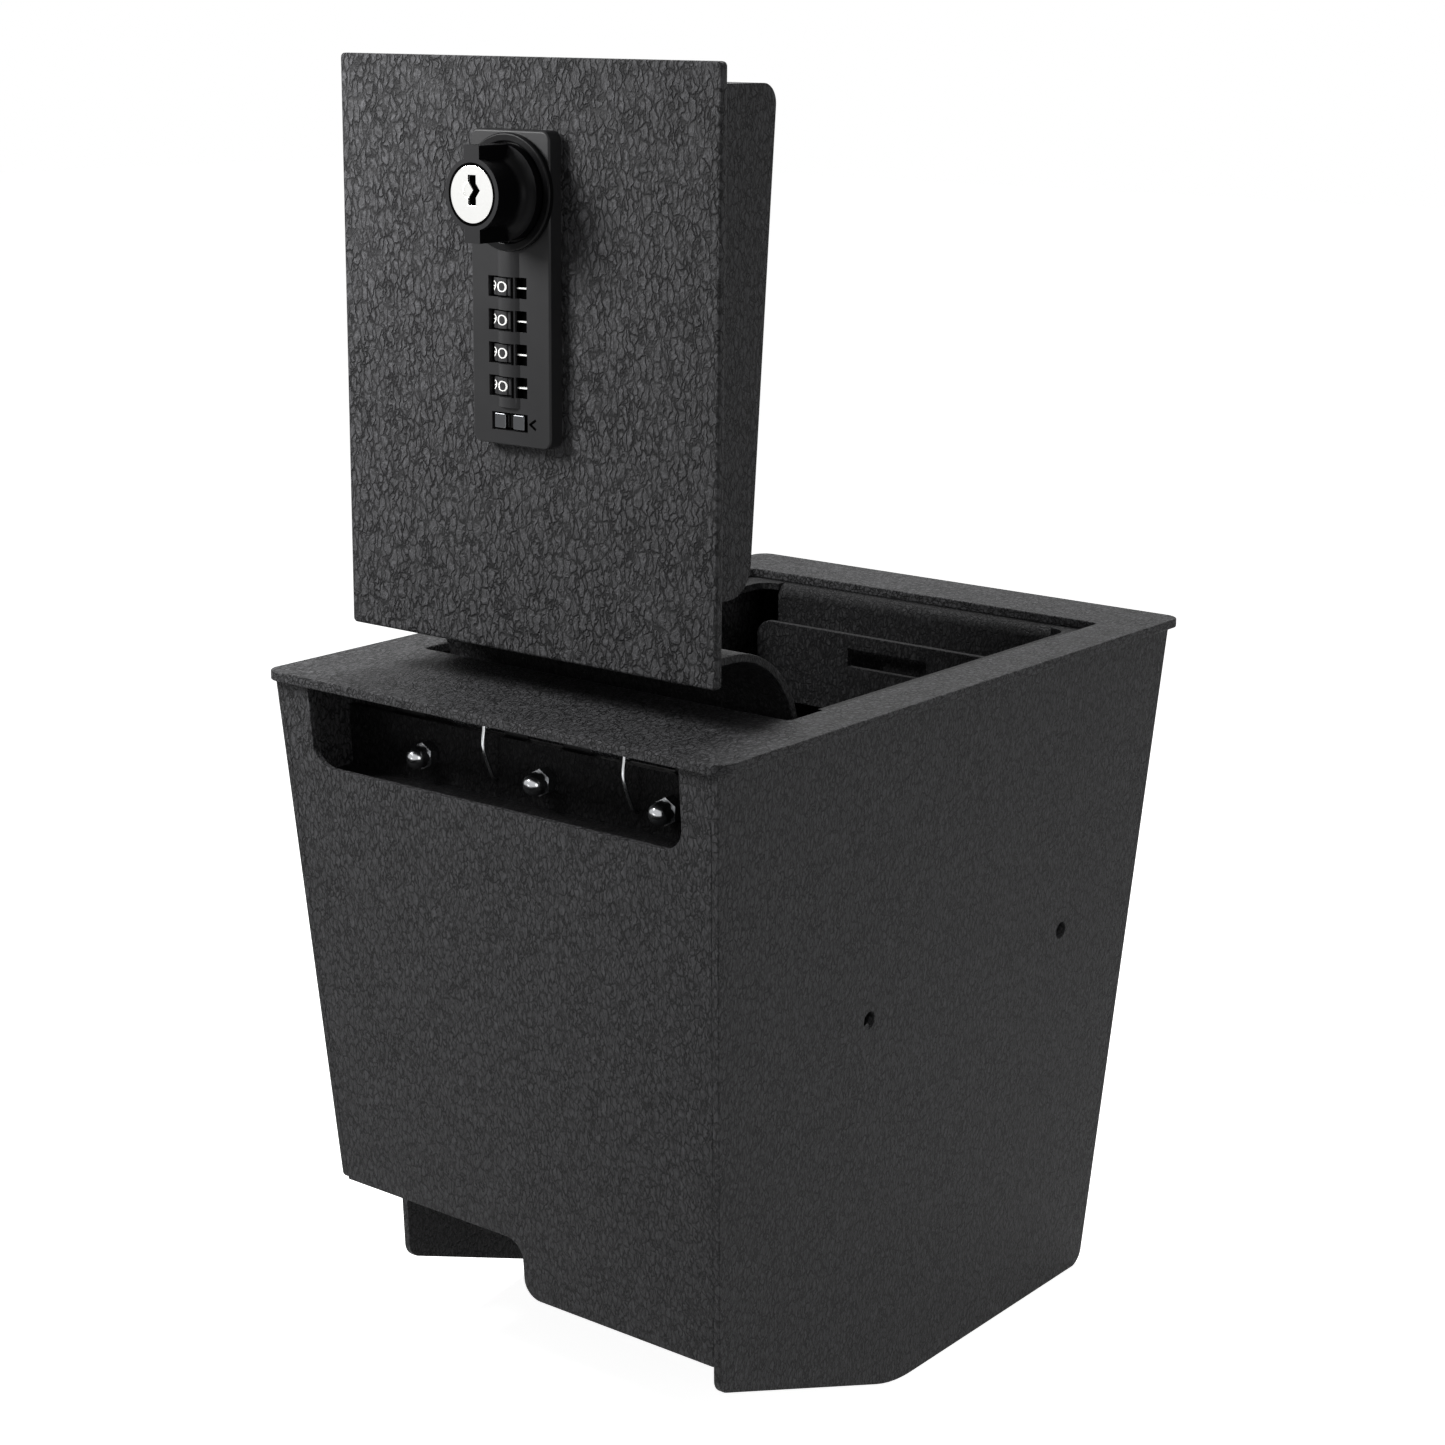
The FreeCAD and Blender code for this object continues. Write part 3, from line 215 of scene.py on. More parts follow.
def knob_black(name):
    """Black lacquer on a die-cast knob: its front faces are worn to a satin sheen and painted lighter, as painted
    light from the front, and its sides are glossy.
    """
    peel_width = 0.6 * MM
    relief = 0.05 * MM
    material, tree = start_material(name)
    place = add(tree, "ShaderNodeTexCoord")
    facing = add(tree, "ShaderNodeSeparateXYZ", {"Vector": place.outputs["Normal"]})
    rubbed_and_painted_light = add(tree, "ShaderNodeMapRange", {"Value": facing.outputs["Y"], "From Min": -0.75,
                                              "From Max": -0.97})
    peel = add(tree, "ShaderNodeTexNoise", {"Vector": place.outputs["Object"], "Scale": 1 / peel_width,
                                            "Detail": 2.0})
    # Painted light: faces turned to the front get a lighter colour, as if lit from the front.
    shade = add(tree, "ShaderNodeMix", {0: rubbed_and_painted_light.outputs["Result"], 6: linear("#060607"),
                                        7: linear("#242425")}, data_type="RGBA")
    sheen = add(tree, "ShaderNodeMapRange", {"Value": rubbed_and_painted_light.outputs["Result"], "To Min": 0.36,
                                             "To Max": 0.5})
    bump = add(tree, "ShaderNodeBump", {"Height": peel.outputs["Fac"], "Strength": 0.15,
                                        "Distance": relief})
    return end_material(material, tree, {"Base Color": shade.outputs[2], "Roughness": sheen.outputs["Result"],
                                         "Specular IOR Level": 0.05, "Normal": bump.outputs["Normal"]})


def front_plated(name, colour, depth_end, roughness):
    """Plated on the front: a mirror with fine rub marks ends below the face, and behind it the colour is painted
    black as painted shade on the sides that sit back in the lock.
    """
    fade = 0.3 * MM
    rub_width = 0.4 * MM
    material, tree = start_material(name)
    place = add(tree, "ShaderNodeTexCoord").outputs["Object"]
    parts = add(tree, "ShaderNodeSeparateXYZ", {"Vector": place})
    chromed = add(tree, "ShaderNodeMapRange", {"Value": parts.outputs["Y"], "From Min": depth_end + fade,
                                               "From Max": depth_end})
    marks = add(tree, "ShaderNodeTexNoise", {"Vector": place, "Scale": 1 / rub_width, "Detail": 2.0})
    # Painted shade: behind the plated front the colour turns black and no longer metal.
    shade = add(tree, "ShaderNodeMix", {0: chromed.outputs["Result"], 6: linear("#050505"),
                                        7: linear(colour)}, data_type="RGBA")
    sheen = add(tree, "ShaderNodeMapRange", {"Value": marks.outputs["Fac"], "To Min": roughness * 0.6,
                                             "To Max": roughness * 1.4})
    return end_material(material, tree, {"Base Color": shade.outputs[2],
                                         "Metallic": chromed.outputs["Result"],
                                         "Specular IOR Level": 0.1, "Roughness": sheen.outputs["Result"]})


def plated(name, colour, roughness, grain):
    """Bright plated steel: a mirror broken by the fine marks of drawing and tumbling, a little dulled."""
    mark_width = 0.35 * MM
    dull_width = 5 * MM
    relief = 0.02 * MM
    material, tree = start_material(name)
    place = add(tree, "ShaderNodeTexCoord").outputs["Object"]
    marks = add(tree, "ShaderNodeTexNoise", {"Vector": place, "Scale": 1 / mark_width, "Detail": 3.0})
    dull = add(tree, "ShaderNodeTexNoise", {"Vector": place, "Scale": 1 / dull_width, "Detail": 2.0})
    shade = add(tree, "ShaderNodeMix", {0: dull.outputs["Fac"], 6: linear(colour[0]), 7: linear(colour[1])},
                data_type="RGBA")
    sheen = add(tree, "ShaderNodeMapRange", {"Value": dull.outputs["Fac"], "To Min": roughness * 0.7,
                                             "To Max": roughness * 1.4})
    bump = add(tree, "ShaderNodeBump", {"Height": marks.outputs["Fac"], "Strength": grain,
                                        "Distance": relief})
    return end_material(material, tree, {"Base Color": shade.outputs[2], "Metallic": 1.0,
                                         "Roughness": sheen.outputs["Result"],
                                         "Normal": bump.outputs["Normal"]})


def white_ink(name):
    """White fill in moulded numbers: matt, a little uneven where the wiper left it thin."""
    patch_width = 0.8 * MM
    material, tree = start_material(name)
    place = add(tree, "ShaderNodeTexCoord").outputs["Object"]
    patches = add(tree, "ShaderNodeTexNoise", {"Vector": place, "Scale": 1 / patch_width, "Detail": 2.0})
    full = add(tree, "ShaderNodeMapRange", {"Value": patches.outputs["Fac"], "From Min": 0.2,
                                            "From Max": 0.7})
    shade = add(tree, "ShaderNodeMix", {0: full.outputs["Result"], 6: linear("#D9D9D6"),
                                        7: linear("#F4F4F2")}, data_type="RGBA")
    return end_material(material, tree, {"Base Color": shade.outputs[2], "Roughness": 0.55})


def clean_copy(node, name, bevel, segments=2, angle=30):
    """A copy of a CAD piece with its flat faces whole again and its sharp edges broken."""
    mesh = frame["nodes"][node].data.copy()
    mesh.name = name
    form = bmesh.new()
    form.from_mesh(mesh)
    bmesh.ops.remove_doubles(form, verts=form.verts, dist=0.002 * MM)
    bmesh.ops.dissolve_limit(form, angle_limit=math.radians(0.5), verts=form.verts, edges=form.edges)
    sharp = [e for e in form.edges if e.is_manifold and e.calc_face_angle(0) > math.radians(angle)]
    bmesh.ops.bevel(form, geom=sharp, offset=bevel, segments=segments, profile=0.6, affect="EDGES",
                    clamp_overlap=True)
    form.to_mesh(mesh)
    form.free()
    mesh.materials.clear()
    piece = bpy.data.objects.new(name, mesh)
    bpy.context.scene.collection.objects.link(piece)
    mesh.shade_smooth()
    mesh.set_sharp_from_angle(angle=math.radians(40))
    flat = piece.modifiers.new("flat_faces", "WEIGHTED_NORMAL")
    flat.keep_sharp = True
    flat.weight = 100
    return piece


def settle(piece, material, body, slot, *replaced):
    """Give a piece its finish and the body it rides on, and hide the nodes it stands for. The slot is not used."""
    piece.data.materials.append(material)
    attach(piece, body)
    if replaced:
        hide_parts(*replaced)


def finish_node(node, material, bevel, segments=2, angle=30):
    """Put a clean, finished copy in the place of a CAD piece."""
    piece = clean_copy(node, f"{node}_finished", bevel, segments, angle)
    settle(piece, material, BODY_OF[node], RECORD_SLOT[node], node)


def mesh_piece(name, form):
    """A new piece from a drawn mesh."""
    mesh = bpy.data.meshes.new(name)
    form.to_mesh(mesh)
    form.free()
    piece = bpy.data.objects.new(name, mesh)
    bpy.context.scene.collection.objects.link(piece)
    return piece


def drawn_mesh(name, curve):
    """The mesh of a curve or a text, which is drawn for that only."""
    item = bpy.data.objects.new(name, curve)
    bpy.context.scene.collection.objects.link(item)
    bpy.context.view_layer.update()
    mesh = bpy.data.meshes.new_from_object(item.evaluated_get(bpy.context.evaluated_depsgraph_get()))
    bpy.data.objects.remove(item)
    return mesh


def add_bar(form, place, size):
    """A straight bar of a given size, where the place matrix sets it."""
    bmesh.ops.create_cube(form, size=1.0, matrix=place @ Matrix.Diagonal((*size, 1.0)))


def hex_colour(name, default, description):
    """A colour that a user can change."""
    return bpy.props.StringProperty(name=name, description=description, default=default)


def length(name, millimetres, description):
    """A size that a user can change."""
    return bpy.props.FloatProperty(name=name, description=description, default=millimetres * MM,
                                   unit="LENGTH", precision=4)


class SafeFinish(bpy.types.PropertyGroup):
    """Colours and grain of the safe's finishes."""
    coat: hex_colour("Coat", "#343435", "Colour of the wrinkle coat")
    # The crease and crown colours are painted shade and painted highlight laid into the coat's colour.
    crease: hex_colour("Crease", "#111112", "Colour in the creases of the coat")
    crown: hex_colour("Crown", "#505052", "Colour on the crowns of the coat")
    # The inside colour is painted shade: it darkens the coat on the pieces inside the box and on the lid's neck.
    inside: hex_colour("Inside", "#171718", "Colour of the thinner coat inside the box")
    pebble: length("Pebble", 1.6, "Width of the coat's pebbles")
    grit: length("Grit", 0.9, "Size of the coat's fine grit")
    edge: length("Plate edge", 1.1, "Rounding of the top frame's and the lid's edges")
    fold: length("Sheet edge", 0.3, "Rounding of the thinner sheets' edges")
    digit: length("Number height", 3.3, "Height of the dials' numbers")


class SpringSizes(bpy.types.PropertyGroup):
    """Sizes of the two hinge springs."""
    wire: length("Wire", 1.3, "Diameter of the wire")
    coil: length("Coil", 9.1, "Diameter at the middle of the wire")
    pitch: length("Pitch", 2, "Step from turn to turn")
    foot: length("Upper leg", 3.2, "Height of the upper leg over the pin")
    turns: bpy.props.IntProperty(name="Turns", description="Whole turns in each spring", default=7, min=1)


class SAFE_OT_box(bpy.types.Operator):
    """Coat the box: its top frame, walls, floor and inner sheet pieces."""
    bl_idname = "safe.box"
    bl_label = "Coated box"

    def execute(self, context):
        look = context.scene.safe_finish
        upright = wrinkle_coat("wrinkle_coat_upright", (1.0, 1.0, 0.38))
        lengthwise = wrinkle_coat("wrinkle_coat_lengthwise", (1.0, 0.5, 1.0))
        # Painted shade: this coat is painted darker for the shade inside the box.
        thin = wrinkle_coat("inside_painted_shade_coat", (1.0, 1.0, 0.42), inside=True)
        for node in ("front_wall", "rear_wall", "left_wall", "right_wall"):
            finish_node(node, upright, look.fold)
        for node in ("latch_strike", "hinge_panel", "lid_rest_frame", "floor_panel"):
            finish_node(node, thin, look.fold)
        finish_node("top_frame", lengthwise, look.edge, 3)
        return {"FINISHED"}


class SAFE_OT_lid(bpy.types.Operator):
    """Coat the lid's plate, its deep frame and its neck."""
    bl_idname = "safe.lid"
    bl_label = "Coated lid"

    def execute(self, context):
        look = context.scene.safe_finish
        upright = bpy.data.materials["wrinkle_coat_upright"]
        thin = bpy.data.materials["inside_painted_shade_coat"]
        thick = wrinkle_coat("thick_wrinkle_coat", (1.0, 1.0, 0.4), coarse=1.45)
        finish_node("lid_plate", thick, look.edge, 3)
        finish_node("lid_channel", upright, look.fold)
        # Painted shade: the neck under the lid takes the darker inside coat for the shade it lies in.
        finish_node("gooseneck_bracket", thin, look.fold)
        return {"FINISHED"}


class SAFE_OT_hinge(bpy.types.Operator):
    """Finish the hinge's leaf, pin, bolts and domed nuts."""
    bl_idname = "safe.hinge"
    bl_label = "Hinge steel"

    def execute(self, context):
        steel = plated("bright_zinc_plate", ("#C9CACC", "#9FA1A4"), 0.2, 0.3)
        leaf = cast_black("black_coated_leaf", ("#1B1B1C", "#262627"), 0.5, 0.3)
        finish_node("fixed_leaf", leaf, 0.3 * MM)
        for node in ("hinge_pin", "hinge_bolts"):
            finish_node(node, steel, 0.2 * MM)
        finish_node("dome_nuts", steel, 0.25 * MM, angle=25)
        return {"FINISHED"}


class SAFE_OT_springs(bpy.types.Operator):
    """Wind the two springs about the pin."""
    bl_idname = "safe.springs"
    bl_label = "Hinge springs"

    # Where the coil begins and ends round the pin, and how finely its line is drawn.
    COIL_START = math.radians(60)
    COIL_END = math.radians(180)
    POINTS_PER_TURN = 24
    # The upper leg's bend behind the pin, the lower leg's first step down, and its tail behind the panel.
    UPPER_BEND = 10 * MM
    STEP_ACROSS = 0.3 * MM
    STEP_DOWN = 2.6 * MM
    TAIL = 2.5 * MM
    # Where the lower leg's knee and bend lie, as shares of the way to its hook.
    KNEE_SHARE = 0.44
    BEND_SHARE = 0.8

    def execute(self, context):
        steel = plated("drawn_spring_wire", ("#D2D3D4", "#AEB0B2"), 0.22, 0.4)
        for node in ("left_spring", "right_spring"):
            self.wind(context.scene.safe_springs, node, steel)
        return {"FINISHED"}

    def wind(self, sizes, node, steel):
        """One spring: its upper leg under the neck, its coil, and its lower leg hooked behind the panel."""
        low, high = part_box(node)
        wire = sizes.wire
        radius = sizes.coil / 2
        turns = sizes.turns + (self.COIL_END - self.COIL_START) / math.tau
        left = low.x + 1.5 * wire
        count = int(turns * self.POINTS_PER_TURN)
        coil = []
        for i in range(count + 1):
            share = i / count
            angle = self.COIL_START + share * turns * math.tau
            coil.append(Vector((left + share * turns * sizes.pitch, HINGE.y + radius * math.cos(angle),
                                HINGE.z + radius * math.sin(angle))))
        last = coil[-1]
        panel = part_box("dome_nuts")[1].y
        hook = Vector((high.x - wire / 2, panel - wire, low.z + wire / 2))
        knee = last.lerp(hook, self.KNEE_SHARE)
        knee.y = low.y + wire / 2
        leg_height = HINGE.z + sizes.foot
        first_leg = [Vector((left - wire, high.y - wire / 2, leg_height)),
                     Vector((left - wire * 0.6, HINGE.y + self.UPPER_BEND, leg_height)),
                     Vector((left - wire * 0.3, HINGE.y + radius, leg_height))]
        last_leg = [last + Vector((self.STEP_ACROSS, 0, -self.STEP_DOWN)), knee,
                    knee.lerp(hook, self.BEND_SHARE), hook, hook + Vector((0, wire + self.TAIL, 0))]
        points = first_leg + coil + last_leg
        curve = bpy.data.curves.new(f"{node}_line", "CURVE")
        curve.dimensions = "3D"
        curve.bevel_depth = wire / 2
        curve.bevel_resolution = 5
        curve.use_fill_caps = True
        spline = curve.splines.new("NURBS")
        spline.points.add(len(points) - 1)
        for point, place in zip(spline.points, points):
            point.co = (*place, 1.0)
        spline.use_endpoint_u = True
        spline.order_u = 3
        spline.resolution_u = 3
        mesh = drawn_mesh(f"{node}_line", curve)
        mesh.materials.clear()
        mesh.materials.append(steel)
        mesh.shade_smooth()
        piece = bpy.data.objects.new(f"{node}_wound", mesh)
        bpy.context.scene.collection.objects.link(piece)
        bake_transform(piece)
        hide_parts(node)


class SAFE_OT_lock(bpy.types.Operator):
    """Finish the lock's plate, collar, knob, key plug, slider and cam."""
    bl_idname = "safe.lock"
    bl_label = "Dial lock"

    # How far the plating reaches behind the fronts of the key plug and the slider; behind that they are painted
    # black as painted shade.
    PLUG_PLATING = 0.7 * MM
    SLIDER_PLATING = 1.1 * MM
    # The trays beside the dials line their recesses in black, with painted shade on the recess walls: their floor
    # and rim stand out from the lid's face, and their sides are measured across from the lid's middle. The ink
    # lies just over the plate's own surface.
    TRAY_FLOOR = 4.0 * MM
    TRAY_RIM = 5.18 * MM
    TRAY_LEFT = 2.52 * MM
    TRAY_RIGHT = 6.48 * MM
    TRAY_TALL = 6.26 * MM
    TRAY_LIFT = 0.02 * MM
    INK_THICK = 0.08 * MM
    # The white lines, which stop short of the trays' sides.
    LINE_TALL = 0.38 * MM
    LINE_SHORT = 0.2 * MM
    # The black strip on the right side of the plate's rounded ridge, painted shade where that side turns from the
    # light.
    RIDGE_RADIUS = 6.85 * MM
    RIDGE_FRONT = 6.8 * MM
    RIDGE_MIDDLE = -0.7 * MM
    STRIP_WIDE = 0.8 * MM
    STRIP_LEAN = math.radians(20)
    # The arrow beside the slider: two bars that meet in a tip.
    ARROW_TIP = 7.6 * MM
    ARROW_FRONT = 5.22 * MM
    ARROW_SPREAD = math.radians(33)
    ARROW_LONG = 3.0 * MM
    ARROW_WIDE = 0.75 * MM
    ARROW_SHIFT = 1.2 * MM
    # The painted shadow of the gap round the key plug.
    GAP_OVER_PLUG = 0.1 * MM
    GAP_OVER_KNOB = 0.75 * MM
    GAP_OUT = 0.02 * MM
    GAP_DEEP = 0.05 * MM
    GAP_SIDES = 64

    def execute(self, context):
        satin = cast_black("satin_black_die_cast", ("#1E1E1F", "#242425"), 0.42, 0.25)
        gloss = cast_black("gloss_black_collar", ("#0B0B0C", "#101011"), 0.3, 0.12, shine=0.06)
        plug_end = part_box("key_plug")[0].y + self.PLUG_PLATING
        nickel = front_plated("polished_nickel", "#F2F2F0", plug_end, 0.14)
        zinc = plated("zinc_plated_steel", ("#B9BBBE", "#8E9194"), 0.3, 0.4)
        slider_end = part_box("code_slider")[0].y + self.SLIDER_PLATING
        chrome = front_plated("chromed_slider", "#505153", slider_end, 0.17)
        finish_node("lock_housing", satin, 0.2 * MM)
        finish_node("lock_collar", gloss, 0.15 * MM)
        finish_node("knob", knob_black("lacquered_black_knob"), 0.35 * MM, 3)
        finish_node("key_plug", nickel, 0.2 * MM)
        finish_node("code_slider", chrome, 0.5 * MM, 3)
        for node in ("lock_back_cover", "latch_cam", "cam_shaft", "cam_washer", "cam_nut", "lock_screws",
                     "dial_spindle"):
            finish_node(node, zinc, 0.2 * MM)
        ink = white_ink("white_ink")
        # This black prints the slider's arrow and also paints shade: the trays' sides, the ridge strip and the
        # ring round the key plug.
        black = cast_black("black_ink_and_painted_shade", ("#030303", "#060606"), 0.7, 0.1, shine=0.0)
        self.index_marks(black, ink)
        self.slider_arrow(black)
        self.plug_gap(black)
        return {"FINISHED"}

    def index_marks(self, black, ink):
        """A black tray with a white line beside each dial, the tray's sides painted shade, and a black strip of
        painted shade on the ridge between them.
        """
        lines, trays = bmesh.new(), bmesh.new()
        floor = LID_FACE - self.TRAY_FLOOR
        rim_face = LID_FACE - self.TRAY_RIM
        left, right, tall = self.TRAY_LEFT, self.TRAY_RIGHT, self.TRAY_TALL
        corners = [(left, -tall / 2), (right, -tall / 2), (right, tall / 2), (left, tall / 2)]
        ridge_axis = LID_FACE - self.RIDGE_FRONT + self.RIDGE_RADIUS
        lean = Matrix.Rotation(self.STRIP_LEAN, 4, "Z")
        out = Matrix.Translation(Vector((0, -self.RIDGE_RADIUS, 0)))
        for node in DIALS:
            low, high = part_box(node)
            level = (low.z + high.z) / 2
            # Painted shade: the tray's black sides line the recess walls, which lie in shade.
            deep = [trays.verts.new((x, floor - self.TRAY_LIFT, level + z)) for x, z in corners]
            rim = [trays.verts.new((x, rim_face, level + z)) for x, z in corners]
            trays.faces.new(deep)
            for i in range(4):
                trays.faces.new((deep[i], rim[i], rim[(i + 1) % 4], deep[(i + 1) % 4]))
            axis = Matrix.Translation(Vector((self.RIDGE_MIDDLE, ridge_axis, level)))
            # Painted shade: a black strip on the ridge's right side, where the ridge turns away from the light.
            add_bar(trays, axis @ lean @ out, (self.STRIP_WIDE, self.INK_THICK, tall))
            middle = Matrix.Translation(Vector(((left + right) / 2, (floor + rim_face) / 2, level)))
            add_bar(lines, middle, (right - left - self.LINE_SHORT, floor - rim_face, self.LINE_TALL))
        bmesh.ops.recalc_face_normals(trays, faces=trays.faces)
        settle(mesh_piece("dial_index_painted_shade", trays), black, "lid", "satin_black_zinc")
        settle(mesh_piece("dial_index_lines", lines), ink, "lid", "black_dial_plastic")

    def slider_arrow(self, black):
        """An arrow that points at the slider."""
        low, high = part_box("code_slider")
        tip = Matrix.Translation(Vector((self.ARROW_TIP, LID_FACE - self.ARROW_FRONT, (low.z + high.z) / 2)))
        shift = Matrix.Translation(Vector((self.ARROW_SHIFT, 0, 0)))
        arrow = bmesh.new()
        for rise in (1, -1):
            turn = Matrix.Rotation(-self.ARROW_SPREAD * rise, 4, "Y")
            add_bar(arrow, tip @ turn @ shift, (self.ARROW_LONG, self.INK_THICK, self.ARROW_WIDE))
        settle(mesh_piece("slider_arrow", arrow), black, "lid", "satin_black_zinc")

    def plug_gap(self, black):
        """A thin black ring over the joint between the key plug and the knob: a painted shadow of the gap."""
        plug_low, plug_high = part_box("key_plug")
        knob_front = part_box("knob")[0].y
        radius = (plug_high.x - plug_low.x) / 2
        inner, outer = radius - self.GAP_OVER_PLUG, radius + self.GAP_OVER_KNOB
        front, back = knob_front - self.GAP_OUT, knob_front + self.GAP_DEEP
        sides = self.GAP_SIDES
        angles = [i * math.tau / sides for i in range(sides)]
        groove = bmesh.new()
        rings = []
        for reach, y in ((inner, front), (outer, front), (outer, back), (inner, back)):
            ring = [groove.verts.new((KNOB.x + reach * math.cos(angle), y, KNOB.z + reach * math.sin(angle)))
                    for angle in angles]
            rings.append(ring)
        for j, near in enumerate(rings):
            far = rings[(j + 1) % len(rings)]
            for i in range(sides):
                following = (i + 1) % sides
                groove.faces.new((near[i], near[following], far[following], far[i]))
        bmesh.ops.recalc_face_normals(groove, faces=groove.faces)
        settle(mesh_piece("plug_gap", groove), black, "knob", "black_knob")


class SAFE_OT_dials(bpy.types.Operator):
    """Finish the dials and print ten plain numbers round each."""
    bl_idname = "safe.dials"
    bl_label = "Dials and numbers"

    NUMBERS = 10
    # Upright slices per number, so that it bends round the dial.
    SLICES = 14
    # A number's width over its height, and its height over the font's size.
    WIDTH_SHARE = 1.15
    HEIGHT_SHARE = 0.7
    # How far the ink stands out of the dial, and what is taken off each side of the font's strokes.
    INK_OUT = 0.03 * MM
    STROKE_TRIM = 0.06 * MM

    def execute(self, context):
        plastic = cast_black("moulded_dial", ("#252526", "#2C2C2D"), 0.45, 0.2)
        ink = bpy.data.materials["white_ink"]
        for node in DIALS:
            finish_node(node, plastic, 0.15 * MM)
            piece = self.numbers(node, context.scene.safe_finish.digit)
            settle(piece, ink, BODY_OF[node], RECORD_SLOT[node])
        return {"FINISHED"}

    def flat_number(self, digit, height):
        """The flat mesh of one number."""
        text = bpy.data.curves.new("number", "FONT")
        text.body = str(digit)
        text.align_x = "CENTER"
        text.align_y = "CENTER"
        text.size = height / self.HEIGHT_SHARE
        text.resolution_u = 4
        text.offset = -self.STROKE_TRIM
        return drawn_mesh("number", text)

    def numbers(self, node, height):
        """Ten numbers wrapped round a dial; a one keeps the font's own width."""
        low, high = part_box(node)
        middle = (low + high) / 2
        rim = (high.x - low.x) / 2 + self.INK_OUT
        form = bmesh.new()
        for digit in range(self.NUMBERS):
            mesh = self.flat_number(digit, height)
            across = [v.co.x for v in mesh.vertices]
            up = [v.co.y for v in mesh.vertices]
            left, width = min(across), max(across) - min(across)
            centre = ((min(across) + max(across)) / 2, (min(up) + max(up)) / 2)
            wide = height * self.WIDTH_SHARE / width if digit != 1 else 1.0
            sliced = bmesh.new()
            sliced.from_mesh(mesh)
            for cut in range(1, self.SLICES):
                at = left + width * cut / self.SLICES
                every = sliced.verts[:] + sliced.edges[:] + sliced.faces[:]
                bmesh.ops.bisect_plane(sliced, geom=every, plane_co=(at, 0, 0), plane_no=(1, 0, 0))
            for vertex in sliced.verts:
                angle = (vertex.co.x - centre[0]) * wide / rim + digit * math.tau / self.NUMBERS
                vertex.co = (middle.x + rim * math.sin(angle), middle.y - rim * math.cos(angle),
                             middle.z + vertex.co.y - centre[1])
            sliced.to_mesh(mesh)
            sliced.free()
            form.from_mesh(mesh)
            bpy.data.meshes.remove(mesh)
        return mesh_piece(f"{node}_numbers", form)


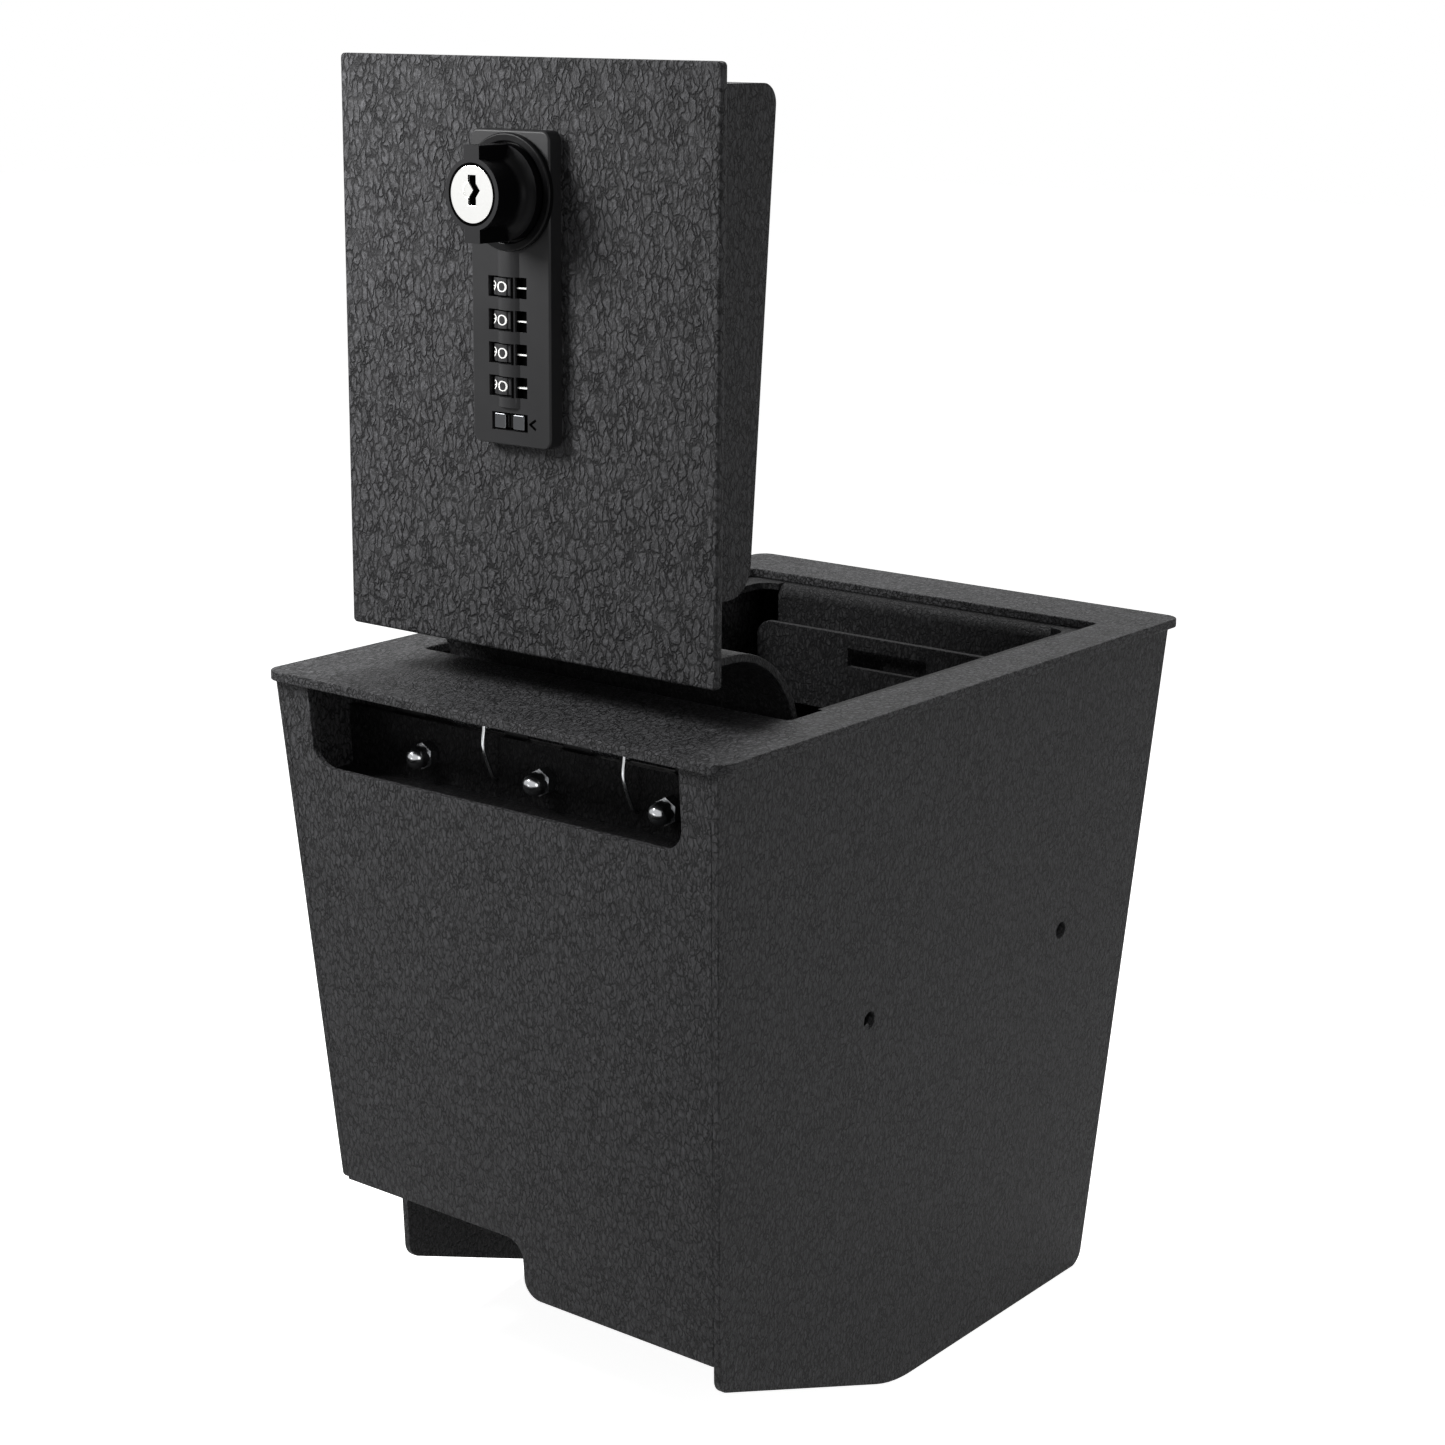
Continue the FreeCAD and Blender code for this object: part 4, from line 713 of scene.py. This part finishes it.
class SAFE_OT_stage(bpy.types.Operator):
    """Set the pale floor, the soft lamps, the white surround and the camera."""
    bl_idname = "safe.stage"
    bl_label = "Studio"

    FLOOR_HALF = 6.0
    # How bright the floor and the surround are as seen, and the surround as light.
    FLOOR_GLOW = 0.93
    SURROUND_SEEN = 1.0
    SURROUND_LIGHT = 0.09
    # The lamps all point at the middle of the box.
    LAMP_AIM = Vector((0, 0, 0.22))

    def execute(self, context):
        self.floor()
        self.surround(context.scene)
        self.lamp("key_lamp", place=(-0.2, -0.34, 0.52), size=0.16, power=2.5)
        self.lamp("top_lamp", place=(-0.2, 0.4, 1.0), size=0.5, power=7)
        self.lamp("side_lamp", place=(0.95, -0.45, 0.4), size=0.6, power=2.4)
        self.lamp("window_lamp", place=(-0.2, -0.6, 0.14), size=0.15, power=0.2)
        self.camera(context.scene)
        context.scene.view_settings.view_transform = "Standard"
        return {"FINISHED"}

    def floor(self):
        """Pale paper that reads white to the camera and still takes the safe's shadow."""
        material, tree = start_material("white_paper")
        seen = background_rays(tree)
        glow = add(tree, "ShaderNodeEmission", {"Strength": self.FLOOR_GLOW})
        bright = add(tree, "ShaderNodeBsdfDiffuse", {"Color": linear("#EEEEEE")})
        paper = add(tree, "ShaderNodeBsdfDiffuse", {"Color": linear("#505050")})
        both = add(tree, "ShaderNodeAddShader", {0: glow.outputs[0], 1: bright.outputs[0]})
        mix = add(tree, "ShaderNodeMixShader", {0: seen, 1: paper.outputs[0], 2: both.outputs[0]})
        add(tree, "ShaderNodeOutputMaterial", {"Surface": mix.outputs[0]})
        form = bmesh.new()
        bmesh.ops.create_grid(form, x_segments=8, y_segments=8, size=self.FLOOR_HALF)
        piece = mesh_piece("floor", form)
        piece.location.z = CAD_BOX[0][2]
        piece.data.materials.append(material)

    def surround(self, scene):
        """White where it is seen or mirrored, and a plain grey as light."""
        world = bpy.data.worlds.new("studio")
        scene.world = world
        world.use_nodes = True
        tree = world.node_tree
        tree.nodes.clear()
        seen = background_rays(tree)
        light = add(tree, "ShaderNodeBackground", {"Color": linear("#FFFFFF"),
                                                   "Strength": self.SURROUND_LIGHT})
        white = add(tree, "ShaderNodeBackground", {"Color": linear("#FFFFFF"),
                                                   "Strength": self.SURROUND_SEEN})
        mix = add(tree, "ShaderNodeMixShader", {0: seen, 1: light.outputs[0], 2: white.outputs[0]})
        add(tree, "ShaderNodeOutputWorld", {"Surface": mix.outputs[0]})

    def lamp(self, name, place, size, power):
        """A round soft lamp."""
        light = bpy.data.lights.new(name, "AREA")
        light.shape = "DISK"
        light.size = size
        light.energy = power
        item = bpy.data.objects.new(name, light)
        bpy.context.scene.collection.objects.link(item)
        item.location = place
        aim = self.LAMP_AIM - Vector(place)
        item.rotation_euler = aim.to_track_quat("-Z", "Y").to_euler()

    def camera(self, scene):
        """The photograph's viewpoint."""
        azimuth = math.radians(CAMERA_AZIMUTH)
        tilt = math.radians(CAMERA_HEIGHT_ANGLE)
        roll = math.radians(CAMERA_ROLL)
        level = math.cos(tilt)
        back = Vector((math.sin(azimuth) * level, -math.cos(azimuth) * level, math.sin(tilt)))
        right = (-back).cross(Vector((0, 0, 1))).normalized()
        down = (-back).cross(right)
        across = right * math.cos(roll) + down * math.sin(roll)
        up = right * math.sin(roll) - down * math.cos(roll)
        lens = bpy.data.cameras.new("photo_camera")
        lens.sensor_width = CAMERA_SENSOR
        lens.sensor_fit = "HORIZONTAL"
        lens.lens = CAMERA_LENS
        lens.clip_start = 0.01
        item = bpy.data.objects.new("photo_camera", lens)
        scene.collection.objects.link(item)
        turn = Matrix((across, up, back)).transposed()
        item.matrix_world = Matrix.Translation(CAMERA_PLACE) @ turn.to_4x4()
        scene.camera = item


STEPS = (SAFE_OT_box, SAFE_OT_lid, SAFE_OT_hinge, SAFE_OT_springs, SAFE_OT_lock, SAFE_OT_dials, SAFE_OT_stage)


class SAFE_PT_panel(bpy.types.Panel):
    """The safe's finishes and steps."""
    bl_idname = "SAFE_PT_panel"
    bl_label = "Cash safe"
    bl_space_type = "VIEW_3D"
    bl_region_type = "UI"
    bl_category = "Safe"

    def draw(self, context):
        for group in (context.scene.safe_finish, context.scene.safe_springs):
            for name in group.__annotations__:
                self.layout.prop(group, name)
        for step in STEPS:
            self.layout.operator(step.bl_idname)


CLASSES = (SafeFinish, SpringSizes) + STEPS + (SAFE_PT_panel,)


def register():
    for item in CLASSES:
        bpy.utils.register_class(item)
    bpy.types.Scene.safe_finish = bpy.props.PointerProperty(type=SafeFinish)
    bpy.types.Scene.safe_springs = bpy.props.PointerProperty(type=SpringSizes)


def unregister():
    del bpy.types.Scene.safe_springs
    del bpy.types.Scene.safe_finish
    for item in reversed(CLASSES):
        bpy.utils.unregister_class(item)


def main():
    register()
    bpy.ops.safe.box()
    bpy.ops.safe.lid()
    bpy.ops.safe.hinge()
    bpy.ops.safe.springs()
    bpy.ops.safe.lock()
    bpy.ops.safe.dials()
    bpy.ops.safe.stage()


if __name__ == "__main__":
    main()
